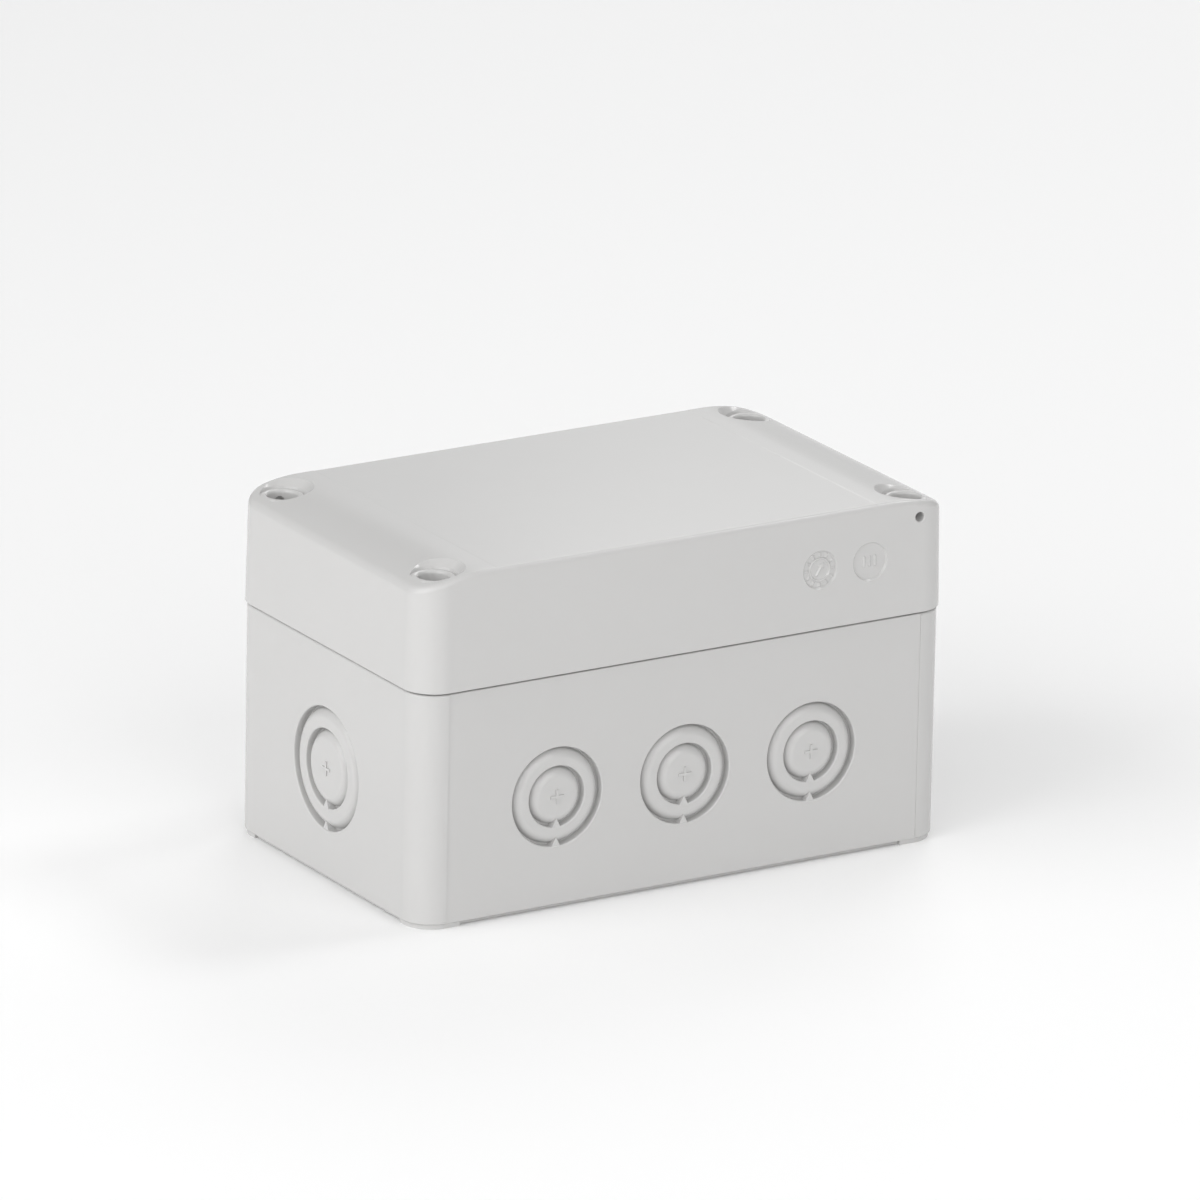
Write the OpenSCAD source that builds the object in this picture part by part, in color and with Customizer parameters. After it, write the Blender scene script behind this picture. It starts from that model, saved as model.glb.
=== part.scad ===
// Electrical junction box: sealed base with knockouts, lift-off lid, rail and clamp terminals.
// Millimetres. X runs along the length, Y across the width, Z up. Origin: bottom centre.

/* [Box] */
// Overall length of the box
box_l = 125; // [118:1:180]
// Overall width of the box
box_w = 75; // [70:1:120]
// Overall height of the closed box
box_h = 74; // [72:1:110]
// Height of the parting line between base and lid
seam_z = 49.5; // [46:0.5:58]
// Gap between base and lid at the parting line
seam_gap = 0.4; // [0.2:0.1:0.6]
// Radius of the vertical corners of the lid
corner_r = 6.8; // [5:0.2:9]
// How far the lid stands out past the base all round
lid_overhang = 0.4; // [0.1:0.1:0.8]
// Thickness of the walls that carry the seal
wall = 3; // [2.8:0.1:4]
// Thickness of the floor
floor_t = 2.6; // [2:0.1:4]
// Thickness of the outer wall round the dry corner channels
skin = 2.4; // [2:0.1:3]
// Thickness of the lid's roof
roof_t = 2.6; // [2:0.1:4]

/* [Lid shape] */
// Lean of the lid's sides for release from the mould, in degrees
draft = 1; // [0:0.1:2]
// Length of the roof that falls away at each short end
end_fall_l = 14.5; // [12:0.5:16]
// Radius of the roof where it falls away to each short end
end_fall_r = 34; // [30:1:60]
// Distance from the end of the level roof to its sunk middle panel
panel_inset = 3.5; // [2:0.1:8]
// Depth of the sunk middle panel of the roof
panel_sink = 0.12; // [0.05:0.01:0.3]
// Radius of the rounded long top edges
top_edge_r = 1.2; // [0.6:0.1:2]

/* [Feet and side panels] */
// Height of the corner feet
foot_h = 1; // [0.6:0.1:2]
// Length of a corner foot
foot_l = 10; // [8:0.5:12]
// Width of a corner foot
foot_w = 8; // [6:0.5:9]
// Distance from the base's outside to the foot's outside
foot_inset = 0.5; // [0.2:0.1:1]
// Distance from the base's end to the sunk panel of each long side
side_panel_inset = 6.6; // [6:0.1:12]
// Depth of the sunk panel of each long side
side_panel_sink = 0.15; // [0.05:0.05:0.3]

/* [Seal] */
// Length of the dry corner zones that stay outside the seal
corner_zone_l = 10.1; // [9.8:0.1:12]
// Width of the dry corner zones that stay outside the seal
corner_zone_w = 18.3; // [18:0.1:19]
// Radius inside the corners of the sealed space
cavity_r = 2; // [1:0.5:4]
// Radius of the corner zones' inner edges
zone_edge_r = 4; // [3.5:0.5:6]
// Distance from the sealed space to the gasket
gasket_inset = 0.6; // [0.5:0.1:0.8]
// Width of the gasket
gasket_w = 1.8; // [1.6:0.1:2]
// Height of the gasket
gasket_h = 1.55; // [1.2:0.05:2.5]
// Depth of the gasket groove above the lid's lower edge
groove_h = 2.2; // [2:0.1:3]
// Width of the rib that presses into the gasket
rib_w = 1; // [0.6:0.1:1.2]
// Gap between the rib and the gasket in the model
rib_gap = 0.05; // [0.03:0.01:0.1]

/* [Lid screws] */
// Distance from the box's end to each lid screw
screw_inset_x = 7; // [6.8:0.1:7.2]
// Distance from the box's side to each lid screw
screw_inset_y = 7.5; // [7:0.1:8]
// Thread diameter of the lid screws
screw_d = 4; // [3.3:0.1:4.8]
// Diameter of the reduced shank that keeps the screw captive
shank_d = 3; // [2.6:0.1:3.2]
// Head diameter of the lid screws
head_d = 5.8; // [5:0.1:7]
// Head height of the lid screws
head_h = 3.5; // [2.5:0.5:4]
// Length of a lid screw under its head
screw_l = 16.2; // [16:0.1:17]
// Length of the threaded end
thread_l = 6.2; // [5.5:0.1:6.3]
// Travel of a lid screw from tight to released
screw_travel = 5.6; // [4:0.1:5.8]
// Gap between a screw head and its well, all round
head_clearance = 0.2; // [0.1:0.05:0.3]
// Length of the cross recess in each lid screw's head
recess_l = 3.6; // [3:0.1:4.2]
// Width of the cross recess in each lid screw's head
recess_w = 0.9; // [0.6:0.1:1.2]
// Depth of the cross recess in each lid screw's head
recess_h = 2; // [1:0.1:2.2]
// Height of the tapered tip of a lid screw
tip_h = 1; // [0.5:0.1:2]
// Diameter at the end of a lid screw's tip
tip_d = 2.6; // [2:0.1:2.9]
// Clearance of the screw thread in the lid's web
web_clearance = 0.15; // [0.1:0.05:0.3]
// Thickness of the web under each screw head
web_t = 2.2; // [1.5:0.1:3]
// Depth of the pocket round each well, below the lid's top
pocket_depth = 1.95; // [1.5:0.05:2.5]
// Width of the ledge between each well and its pocket's wall
pocket_ledge = 1.6; // [1.2:0.1:1.8]
// How much the pocket's radius grows from its floor to the lid's top
pocket_flare = 1.8; // [0.5:0.1:2]
// Thickness of the lid between each well and the dry corner channel
well_wall = 1.8; // [1.5:0.1:2.2]
// Outside diameter of a retaining ring
ring_d = 5.8; // [5:0.1:6]
// Thickness of a retaining ring
ring_t = 1.6; // [1.2:0.1:1.6]
// Gap between a retaining ring and its recess, all round
ring_clearance = 0.4; // [0.3:0.05:0.5]
// Gap between a tight screw's retaining ring and the base
ring_gap = 0.8; // [0.5:0.1:1]
// Free height above the retaining ring of a released screw
ring_spare = 0.5; // [0.3:0.1:1]
// Wall thickness of the brass inserts
insert_wall = 0.75; // [0.5:0.05:1]
// Length of the brass inserts
insert_l = 8; // [6:0.5:12]
// Thickness of the base between each insert and the dry corner channel
boss_wall = 1.2; // [1:0.1:1.4]
// Depth of the hole for the screw's tip below each insert
tip_hole_h = 2; // [1:0.5:4]
// Gap round the screw's tip in the hole below each insert
tip_hole_gap = 0.5; // [0.2:0.1:0.6]
// Radial running clearance of shafts and threads
run_fit = 0.05; // [0.03:0.01:0.08]
// Diameter of the hole for a sealing wire
wire_hole_d = 2; // [1.6:0.1:2.2]
// Distance of the sealing wire hole below the lid's top
wire_hole_drop = 4.05; // [3.5:0.05:5]
// Distance from the box's end to the sealing wire hole
wire_hole_inset = 7.95; // [7.95:0.1:9.05]

/* [Wall mounting] */
// Distance from the box's end to each mounting hole
mount_inset_x = 6.5; // [6.2:0.1:7]
// Distance across Y from each lid screw to its mounting hole
mount_step_y = 7.5; // [7.4:0.1:8]
// Diameter of the mounting holes
mount_d = 4.6; // [4:0.1:5]
// Floor thickness in the dry corner channels
channel_floor_t = 4; // [3:0.5:6]

/* [Knockouts] */
// Outer diameter of the large rings on the long sides
long_ko_d = 20.9; // [20:0.1:21]
// Outer diameter of the small rings on the long sides
long_ko_core_d = 12.9; // [12:0.1:13.5]
// Outer diameter of the large rings on the short ends
end_ko_d = 25.7; // [25:0.1:26]
// Outer diameter of the small rings on the short ends
end_ko_core_d = 16.6; // [16:0.1:17]
// Distance between knockouts on a long side
ko_pitch = 30; // [28:0.5:32]
// Number of knockouts on each long side
ko_count = 3; // [1:1:3]
// Height of the knockout centres
ko_z = 23.75; // [20:0.25:28]
// Width of the knockout grooves at the surface
ko_groove_w = 2.1; // [1.6:0.1:2.4]
// Depth of the knockout grooves
ko_groove_h = 1.5; // [1:0.1:1.6]
// Radius of the rounded shoulder beside each groove
ko_shoulder_r = 1.4; // [0.8:0.1:1.45]
// Depth of the knockout faces below the wall
ko_sink = 0.15; // [0.05:0.05:0.3]
// Width of the breaking groove on the inside
ko_inner_w = 0.9; // [0.5:0.1:1.2]
// Depth of the breaking groove on the inside
ko_inner_h = 0.7; // [0.3:0.1:0.8]
// Width of the small pointer at the foot of each groove
ko_pointer_w = 1.9; // [1:0.1:2.5]
// Length of the small pointer at the foot of each groove
ko_pointer_l = 1.9; // [1:0.1:2.1]
// Length of the bars of the centre cross
ko_cross_l = 3; // [2:0.5:4]
// Width of the bars of the centre cross
ko_cross_w = 0.45; // [0.3:0.05:0.8]

/* [Marks on the lid] */
// Diameter of the two round marks on the lid's long side
mark_d = 8.2; // [6:0.1:9]
// Depth of the round marks
mark_h = 0.3; // [0.1:0.05:0.5]
// Height of the round marks' centres
mark_z = 62.3; // [58:0.1:66]
// Distance from the box's end to the dial mark's centre
dial_inset = 31.6; // [29:0.1:34]
// Distance from the box's end to the bar mark's centre
bar_mark_inset = 19.7; // [17:0.1:21]
// Diameter of the dial mark's deeper inner face
dial_core_d = 4.7; // [3:0.1:6]
// Extra depth of the dial mark's inner face
dial_core_h = 0.15; // [0.1:0.05:0.3]

/* [Rail] */
// Width of the mounting rail
rail_w = 35; // [34:0.5:36]
// Height of the mounting rail
rail_h = 7.5; // [7:0.5:8]
// Thickness of the rail's steel
rail_t = 1; // [1:0.1:1.2]
// Width of the rail's channel, outside
rail_channel_w = 27; // [26:0.5:28]
// Gap from each end of the rail to the corner zones
rail_end_gap = 2; // [1:0.5:10]
// Height of the rail's underside above the floor
rail_lift = 4.4; // [3.5:0.1:6]
// Distance from the rail's end to its screw
rail_screw_inset = 7; // [6:0.5:10]
// Thread diameter of the rail screws
rail_screw_d = 3.5; // [3:0.5:4]
// Head diameter of the rail screws
rail_head_d = 7; // [6:0.5:8]
// Head height of the rail screws
rail_head_h = 2.4; // [2:0.1:3]
// Length of the cross recess in each rail screw's head
rail_recess_l = 4.2; // [3:0.1:5]
// Width of the cross recess in each rail screw's head
rail_recess_w = 1; // [0.6:0.1:1.4]
// Depth of the cross recess in each rail screw's head
rail_recess_h = 1.4; // [1:0.1:1.6]
// Thickness of the floor left under each rail screw
rail_screw_floor_t = 2; // [1:0.1:2.4]
// Diameter of the bosses under the rail
rail_boss_d = 9; // [8:0.5:10]
// Length of the rail's slots
rail_slot_l = 10; // [8:0.5:12]
// Width of the rail's slots
rail_slot_w = 4.5; // [4.2:0.1:5.2]

/* [Terminals] */
// Thickness of one terminal
terminal_t = 6.1; // [5.5:0.1:7.5]
// Gap between neighbours on the rail
terminal_gap = 0.1; // [0.05:0.05:0.2]
// Half of the terminal's width across the rail
terminal_half_w = 23; // [22.5:0.5:25]
// Height of the terminal above the rail
terminal_h = 40.5; // [38:0.5:42]
// Height of the screw shoulders above the rail
shoulder_h = 28.5; // [27.5:0.5:30]
// Half of the width of a terminal's raised middle at its top
crown_half_w = 8.5; // [7.5:0.5:9]
// Half of the width of a terminal's raised middle at its foot
crown_foot_half_w = 12.5; // [11.5:0.5:13]
// Width of the slanted outer corners of a terminal
terminal_chamfer = 3; // [1:0.5:4]
// Height of the slanted outer corners of a terminal
terminal_chamfer_h = 4; // [2:0.5:5]
// Width and height of the slanted upper corners of a terminal's raised middle
crown_chamfer = 1; // [0.5:0.1:1.5]
// Gap between the rail and the foot that grips it
grip_gap = 0.1; // [0.05:0.05:0.2]
// Gap under the rail's edge where the foot hooks round it
hook_gap = 0.15; // [0.1:0.05:0.3]
// How far each hook reaches in under the rail's edge
hook_l = 1.4; // [1:0.1:2]
// Thickness of each hook
hook_t = 1.25; // [1:0.05:1.8]
// How far the underside of a hook runs out past the rail before it slants up
hook_lip_l = 1.1; // [0.8:0.1:1.5]
// How far that underside drops below the hook
hook_lip_drop = 0.5; // [0.2:0.1:0.6]
// Height above the rail where the slant under a foot ends
foot_side_z = 0.5; // [0.2:0.1:1]
// Gap between the inside of the rail and the foot's tongue
tongue_gap = 0.5; // [0.3:0.1:1]
// Gap between the rail's bottom and the foot's tongue
tongue_rise = 1.5; // [1:0.1:3]
// Thickness of the closed side of a terminal
terminal_web = 1.1; // [0.9:0.1:1.2]
// Distance of each clamp from the terminal's middle
clamp_y = 16; // [15.5:0.5:17]
// Length of a clamp cage across the rail
cage_l = 6.6; // [6:0.1:7]
// Height of a clamp cage
cage_h = 9.5; // [9:0.1:10]
// Thickness of the cage's sides
cage_side_t = 0.5; // [0.4:0.1:0.6]
// Thickness of the cage's lower jaw
cage_jaw_t = 1; // [0.8:0.1:1.2]
// Thickness of the cage's threaded top
cage_top_t = 2; // [1.6:0.1:2.4]
// Travel of the cage from open to shut
cage_travel = 3.4; // [2:0.1:3.4]
// Free gap round a clamp cage
cage_gap = 0.3; // [0.2:0.05:0.4]
// Distance from a clamp cage's gap to the terminal's open side
cage_inset = 0.2; // [0.1:0.05:0.4]
// Gap between the current bar and a cage's sides
bar_gap = 0.25; // [0.2:0.05:0.5]
// Gap between the current bar and its seat in the terminal
bar_seat_gap = 0.05; // [0.03:0.01:0.1]
// How far the current bar runs past each clamp cage
bar_overrun = 0.9; // [0.5:0.1:1]
// Thickness of the current bar
bar_t = 1; // [0.8:0.1:1.2]
// Height of the current bar's underside above the rail
bar_z = 13.5; // [13:0.5:15]
// Thread diameter of the clamp screws
clamp_d = 3; // [2.5:0.1:3]
// Head diameter of the clamp screws
clamp_head_d = 3.9; // [3.5:0.1:4]
// Head height of the clamp screws
clamp_head_h = 2.4; // [1.8:0.1:2.6]
// Width of the slots in the clamp screws' heads
clamp_slot_w = 0.6; // [0.4:0.1:0.8]
// Depth of the slots in the clamp screws' heads
clamp_slot_h = 1; // [0.6:0.1:1.4]
// Gap round each clamp screw in the terminal
clamp_clearance = 0.15; // [0.1:0.05:0.25]
// Gap under each clamp screw's head and under its tip
clamp_end_gap = 0.1; // [0.05:0.05:0.2]
// Thickness of the ledge under a clamp screw's head
ledge_t = 0.8; // [0.6:0.1:1]
// Diameter of the wire entries
entry_d = 3.6; // [3:0.1:3.7]
// Thickness of the end plate
end_plate_t = 1.5; // [1:0.1:2]
// Thickness of an end bracket
bracket_t = 8; // [6:0.5:10]
// Height of an end bracket above the rail
bracket_h = 26; // [20:1:30]
// How far an end bracket stands out past the rail on each side
bracket_overhang = 2; // [1.9:0.1:3]
// Half of an end bracket's flat top, across the rail
bracket_top_half_w = 8; // [6:0.5:9]
// How far below the top an end bracket's upper slants end
bracket_top_drop = 2; // [1:0.5:4]
// Half of an end bracket's width where its two slants meet
bracket_bend_half_w = 10; // [9.5:0.5:14]
// How far below the top an end bracket's lower slants end
bracket_side_drop = 8; // [5:0.5:12]
// Thread diameter of the bracket screws
bracket_screw_d = 3; // [2.5:0.5:3.5]
// Head diameter of the bracket screws
bracket_head_d = 5.6; // [5:0.1:6]
// Head height of the bracket screws
bracket_head_h = 2.2; // [1.6:0.1:2.6]
// Depth of the head's seat in an end bracket
bracket_seat_h = 3; // [2.6:0.1:5]
// Gap round the head in its seat
bracket_head_gap = 0.2; // [0.1:0.05:0.3]
// Width of the slots in the bracket screws' heads
bracket_slot_w = 0.8; // [0.6:0.1:1]
// Depth of the slots in the bracket screws' heads
bracket_slot_h = 1.2; // [0.8:0.1:1.4]
// Width of the earth foot's post across the rail
earth_post_l = 8; // [6:0.5:10]
// Thickness of the earth foot's plate on the rail
earth_plate_t = 1; // [0.8:0.1:1.2]
// Distance from the rail's edge to the earth foot's plate
earth_plate_inset = 0.5; // [0.2:0.1:1]
// Gap between the earth foot and its housing
earth_gap = 0.05; // [0.03:0.01:0.1]
// Distance from a terminal's side to its marker tag
tag_inset = 0.4; // [0.2:0.1:1]
// Length of the blank marker tags across the rail
tag_l = 10; // [6:0.5:14]
// Height of the blank marker tags
tag_h = 1.5; // [1:0.1:2]

/* [Hidden] */
$fn = 64;
// Tiny overlap, and how far cuts and joins run past the surfaces they cross
eps = 0.01;
over = 1;
ARC_STEPS = 8;
FALL_SEGMENTS = 160;
SHELL_GREY = [0.80, 0.80, 0.79];
SEAL_GREY = [0.25, 0.25, 0.26];
STEEL = [0.72, 0.73, 0.75];
BRASS = [0.80, 0.66, 0.36];
COPPER = [0.78, 0.50, 0.34];
TERMINAL_GREY = [0.62, 0.64, 0.64];
NEUTRAL_BLUE = [0.16, 0.40, 0.74];
EARTH_GREEN = [0.20, 0.62, 0.30];
TAG_WHITE = [0.93, 0.93, 0.91];

// Base: outside size, rim and floor levels
base_l = box_l - 2 * lid_overhang;
base_w = box_w - 2 * lid_overhang;
base_r = corner_r - lid_overhang;
rim_z = seam_z - seam_gap / 2;
lid_z = seam_z + seam_gap / 2;
floor_z = foot_h + floor_t;
channel_z = foot_h + channel_floor_t;

// Sealed space: half sizes of its cross-shaped plan
cavity_x = base_l / 2 - wall;
cavity_y = base_w / 2 - wall;
zone_x = cavity_x - corner_zone_l;
zone_y = cavity_y - corner_zone_w;

// Gasket, its groove and the rib under it
gasket_top = lid_z + groove_h;
gasket_bottom = gasket_top - gasket_h;
rib_inset = gasket_inset + (gasket_w - rib_w) / 2;

// Lid roof levels: the ends are lower because the roof falls away
level_x = box_l / 2 - end_fall_l;
panel_l = 2 * (level_x - panel_inset);
cavity_fall = end_fall_r - sqrt(pow(end_fall_r, 2) - pow(cavity_x - level_x, 2));
roof_mid_z = box_h - roof_t;
roof_end_z = roof_mid_z - cavity_fall;

// Lid screws: places and levels
screw_x = box_l / 2 - screw_inset_x;
screw_y = box_w / 2 - screw_inset_y;
ring_rest_z = rim_z + ring_gap;
web_z = ring_rest_z + ring_t + screw_travel + ring_spare;
head_z = web_z + web_t;
tip_z = head_z - screw_l;
insert_z = rim_z - insert_l;
insert_bore_d = screw_d + 2 * run_fit;
insert_d = insert_bore_d + 2 * insert_wall;
well_d = head_d + 2 * head_clearance;
ring_recess_d = ring_d + 2 * ring_clearance;
pocket_floor_d = well_d + 2 * pocket_ledge;

// Where the solid corner posts of base and lid begin
base_post_y = screw_y - insert_d / 2 - boss_wall;
lid_post_y = screw_y - well_d / 2 - well_wall;

// Wall mounting holes
mount_x = box_l / 2 - mount_inset_x;
mount_y = screw_y - mount_step_y;

// Rail
rail_z = floor_z + rail_lift;
rail_top = rail_z + rail_h;
rail_l = 2 * (zone_x - rail_end_gap);
rail_screw_x = rail_l / 2 - rail_screw_inset;
rail_screw_tip_z = foot_h + rail_screw_floor_t;

// Terminals, counted along the rail from the left
TERMINALS = 4;
terminal_pitch = terminal_t + terminal_gap;
stack_l = 2 * bracket_t + TERMINALS * terminal_pitch + end_plate_t + 2 * terminal_gap;
stack_x = -stack_l / 2;
first_x = stack_x + bracket_t + terminal_gap;
end_plate_x = first_x + TERMINALS * terminal_pitch;
bracket_right_x = end_plate_x + end_plate_t + terminal_gap;
cage_w = terminal_t - terminal_web - 2 * cage_gap - cage_inset;
clamp_dx = terminal_web + cage_gap + cage_w / 2;
bar_w = cage_w - 2 * cage_side_t - 2 * bar_gap;
bar_l = 2 * clamp_y + cage_l + 2 * bar_overrun;
cage_z = rail_top + bar_z - cage_travel - cage_gap - cage_jaw_t;
pocket_z = cage_z - cage_gap;
pocket_top = cage_z + cage_h + cage_travel + cage_gap;
clamp_head_z = pocket_top + ledge_t + clamp_end_gap;
bracket_seat_z = rail_top + bracket_h - bracket_seat_h;

// ---------- shared shapes ----------

// Repeats its child at (x, y) from the middle in all four corners
module in_four_corners(x, y)
{
    for (sx = [-1, 1], sy = [-1, 1]) translate([sx * x, sy * y, 0]) children();
}

// Rectangle with round corners
module rounded_plan(l, w, r)
{
    square([l - 2 * r, w], center = true);
    square([l, w - 2 * r], center = true);
    in_four_corners(l / 2 - r, w / 2 - r) circle(r);
}

function arc(x, y, r, from, to) =
    [for (i = [0 : ARC_STEPS])
        let (a = from + (to - from) * i / ARC_STEPS) [x + r * cos(a), y + r * sin(a)]];

// One quarter of the cross-shaped plan of the sealed space, grown outwards by g
function seal_quarter(g) =
    let (x = cavity_x + g, y = cavity_y + g, zx = zone_x + g, zy = zone_y + g,
         r = cavity_r + g, q = zone_edge_r - g)
    concat(arc(x - r, zy - r, r, 0, 90), arc(zx + q, zy + q, q, 270, 180), arc(zx - r, y - r, r, 0, 90));

function flip(points, sx, sy) = [for (p = points) [sx * p[0], sy * p[1]]];
function reversed(points) = [for (i = [len(points) - 1 : -1 : 0]) points[i]];

// Plan of the sealed space, grown outwards by g
module seal_plan(g)
{
    quarter = seal_quarter(g);
    polygon(concat(quarter, reversed(flip(quarter, -1, 1)),
                   flip(quarter, -1, -1), reversed(flip(quarter, 1, -1))));
}

// A level slab of its child's plan between two heights
module slab(from, to)
{
    translate([0, 0, from]) linear_extrude(to - from) children();
}

// Upright round bar or hole between two heights
module upright(d, from, to)
{
    translate([0, 0, from]) cylinder(d = d, h = to - from);
}

// Plan of the dry corner channels: outside the seal wall, inside the outer skin, up to the posts
module channel_plan(l, w, r, post_y)
{
    difference() {
        intersection() {
            rounded_plan(l - 2 * skin, w - 2 * skin, r - skin);
            square([l, 2 * post_y], center = true);
        }
        seal_plan(wall);
    }
}

// ---------- knockouts ----------

// Section of one groove with the rounded shoulder on its inner side
module groove_section(r)
{
    difference() {
        translate([r - ko_groove_w, ko_sink]) square([ko_groove_w, ko_groove_h]);
        translate([r - ko_groove_w, ko_sink + ko_shoulder_r]) circle(ko_shoulder_r);
        translate([r - ko_groove_w, ko_sink + ko_shoulder_r])
            square([ko_shoulder_r, ko_groove_h]);
    }
}

// Small wedge that stays standing at the foot of a groove
module groove_pointer(r)
{
    translate([0, r, ko_sink + eps])
        linear_extrude(ko_groove_h + over)
            polygon([[-ko_pointer_w / 2, over], [-ko_pointer_w / 2, 0], [0, -ko_pointer_l],
                     [ko_pointer_w / 2, 0], [ko_pointer_w / 2, over]]);
}

// Ring that thins the wall from the inside, so that the disc breaks out
module breaking_groove(d)
{
    translate([0, 0, wall - ko_inner_h])
        difference() {
            cylinder(d = d, h = ko_inner_h + eps);
            translate([0, 0, -eps]) cylinder(d = d - 2 * ko_inner_w, h = ko_inner_h + 3 * eps);
        }
}

// Everything that one knockout takes out of the wall. Local Z points into the wall, local Y down.
module knockout_cut(d, core_d)
{
    difference() {
        rotate_extrude() {
            translate([0, -over]) square([d / 2, over + ko_sink]);
            groove_section(d / 2);
            groove_section(core_d / 2);
        }
        groove_pointer(d / 2);
        groove_pointer(core_d / 2);
        for (turn = [0, 90])
            rotate(turn) translate([-ko_cross_l / 2, -ko_cross_w / 2, eps])
                cube([ko_cross_l, ko_cross_w, over]);
    }
    breaking_groove(d);
    breaking_groove(core_d);
}

// Places a knockout on a long side (side -1 is the front) or on a short end (side -1 is the left)
module on_long_side(x, side)
{
    rotate(side < 0 ? 0 : 180) translate([x, -base_w / 2, ko_z]) rotate([-90, 0, 0]) children();
}

module on_short_end(side)
{
    rotate(side < 0 ? -90 : 90) translate([0, -base_l / 2, ko_z]) rotate([-90, 0, 0]) children();
}

// ---------- base ----------

module foot_plan()
{
    intersection() {
        rounded_plan(base_l - 2 * foot_inset, base_w - 2 * foot_inset, base_r - foot_inset);
        in_four_corners((base_l - foot_l) / 2, (base_w - foot_w) / 2)
            square([foot_l, foot_w], center = true);
    }
}

module rail_bosses()
{
    for (side = [-1, 1])
        translate([side * rail_screw_x, 0, 0]) upright(rail_boss_d, floor_z - over, rail_z);
}

module base_body()
{
    slab(foot_h, rim_z) rounded_plan(base_l, base_w, base_r);
    slab(0, foot_h + over) foot_plan();
    slab(rim_z - over, gasket_bottom - rib_gap)
        difference() {
            seal_plan(rib_inset + rib_w);
            seal_plan(rib_inset);
        }
}

module base()
{
    color(SHELL_GREY)
        difference() {
            union() {
                difference() {
                    base_body();
                    slab(floor_z, box_h) seal_plan(0);
                    slab(channel_z, box_h) channel_plan(base_l, base_w, base_r, base_post_y);
                }
                rail_bosses();
            }
            for (side = [-1, 1]) {
                translate([-(base_l / 2 - side_panel_inset), side * base_w / 2 - side_panel_sink, -over])
                    cube([base_l - 2 * side_panel_inset, 2 * side_panel_sink, box_h]);
                for (i = [0 : ko_count - 1])
                    on_long_side((i - (ko_count - 1) / 2) * ko_pitch, side)
                        translate([0, 0, side_panel_sink]) knockout_cut(long_ko_d, long_ko_core_d);
                on_short_end(side) knockout_cut(end_ko_d, end_ko_core_d);
                translate([side * rail_screw_x, 0, 0])
                    upright(rail_screw_d + 2 * run_fit, rail_screw_tip_z - run_fit, rail_z + over);
            }
            in_four_corners(screw_x, screw_y) {
                upright(insert_d, insert_z, rim_z + over);
                upright(screw_d + 2 * tip_hole_gap, insert_z - tip_hole_h, insert_z + over);
            }
            in_four_corners(mount_x, mount_y) upright(mount_d, -over, channel_z + over);
        }
}

// ---------- lid ----------

// Section along the length: level middle, ends falling away, leaning sides
module lid_length_section()
{
    lean = (box_h - lid_z) * tan(draft);
    intersection() {
        polygon([[-box_l / 2, lid_z], [box_l / 2, lid_z],
                 [box_l / 2 - lean, box_h], [lean - box_l / 2, box_h]]);
        union() {
            translate([-level_x, 0]) square([2 * level_x, box_h]);
            translate([-box_l, 0]) square([2 * box_l, box_h - end_fall_r]);
            for (side = [-1, 1])
                translate([side * level_x, box_h - end_fall_r]) circle(end_fall_r, $fn = FALL_SEGMENTS);
        }
    }
}

// Section across the width: leaning sides and rounded top edges
module lid_width_section()
{
    lean = (box_h - top_edge_r - lid_z) * tan(draft);
    edge_y = box_w / 2 - lean;
    right = concat([[box_w / 2, lid_z]], arc(edge_y - top_edge_r, box_h - top_edge_r, top_edge_r, 0, 90));
    polygon(concat(right, reversed(flip(right, -1, 1))));
}

module lid_outside()
{
    intersection() {
        translate([0, box_w, 0]) rotate([90, 0, 0]) linear_extrude(2 * box_w) lid_length_section();
        translate([-box_l, 0, 0]) rotate([90, 0, 90]) linear_extrude(2 * box_l) lid_width_section();
        slab(lid_z, box_h + over) rounded_plan(box_l, box_w, corner_r);
    }
}

module lid_hollow()
{
    slab(lid_z - over, roof_end_z) seal_plan(0);
    slab(lid_z - over, roof_mid_z)
        intersection() {
            seal_plan(0);
            square([2 * level_x, box_w], center = true);
        }
    slab(lid_z - over, roof_end_z) channel_plan(box_l, box_w, corner_r, lid_post_y);
    slab(lid_z - over, gasket_top)
        difference() {
            seal_plan(gasket_inset + gasket_w);
            seal_plan(gasket_inset);
        }
}

module screw_well()
{
    upright(ring_recess_d, lid_z - over, web_z);
    upright(screw_d + 2 * web_clearance, web_z - over, head_z + over);
    upright(well_d, head_z, box_h + over);
    translate([0, 0, box_h - pocket_depth])
        cylinder(d1 = pocket_floor_d, d2 = pocket_floor_d + 2 * pocket_flare, h = pocket_depth);
}

// Round recess in the lid's long side
module round_recess(x, d, depth)
{
    face_y = (mark_z - lid_z) * tan(draft) - box_w / 2;
    translate([x, face_y + depth, mark_z]) rotate([90, 0, 0]) cylinder(d = d, h = depth + over);
}

module lid_marks()
{
    round_recess(box_l / 2 - dial_inset, mark_d, mark_h);
    round_recess(box_l / 2 - dial_inset, dial_core_d, mark_h + dial_core_h);
    round_recess(box_l / 2 - bar_mark_inset, mark_d, mark_h);
}

module wire_holes()
{
    for (turn = [0, 180])
        rotate(turn)
            translate([box_l / 2 - wire_hole_inset, -screw_y, box_h - wire_hole_drop])
                rotate([90, 0, 0]) cylinder(d = wire_hole_d, h = box_w / 2);
}

module lid()
{
    color(SHELL_GREY)
        difference() {
            lid_outside();
            lid_hollow();
            in_four_corners(screw_x, screw_y) screw_well();
            lid_marks();
            wire_holes();
            translate([-panel_l / 2, -box_w, box_h - panel_sink]) cube([panel_l, 2 * box_w, over]);
        }
}

module lid_gasket()
{
    color(SEAL_GREY)
        slab(gasket_bottom, gasket_top)
            difference() {
                seal_plan(gasket_inset + gasket_w);
                seal_plan(gasket_inset);
            }
}

// ---------- lid screws ----------

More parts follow.
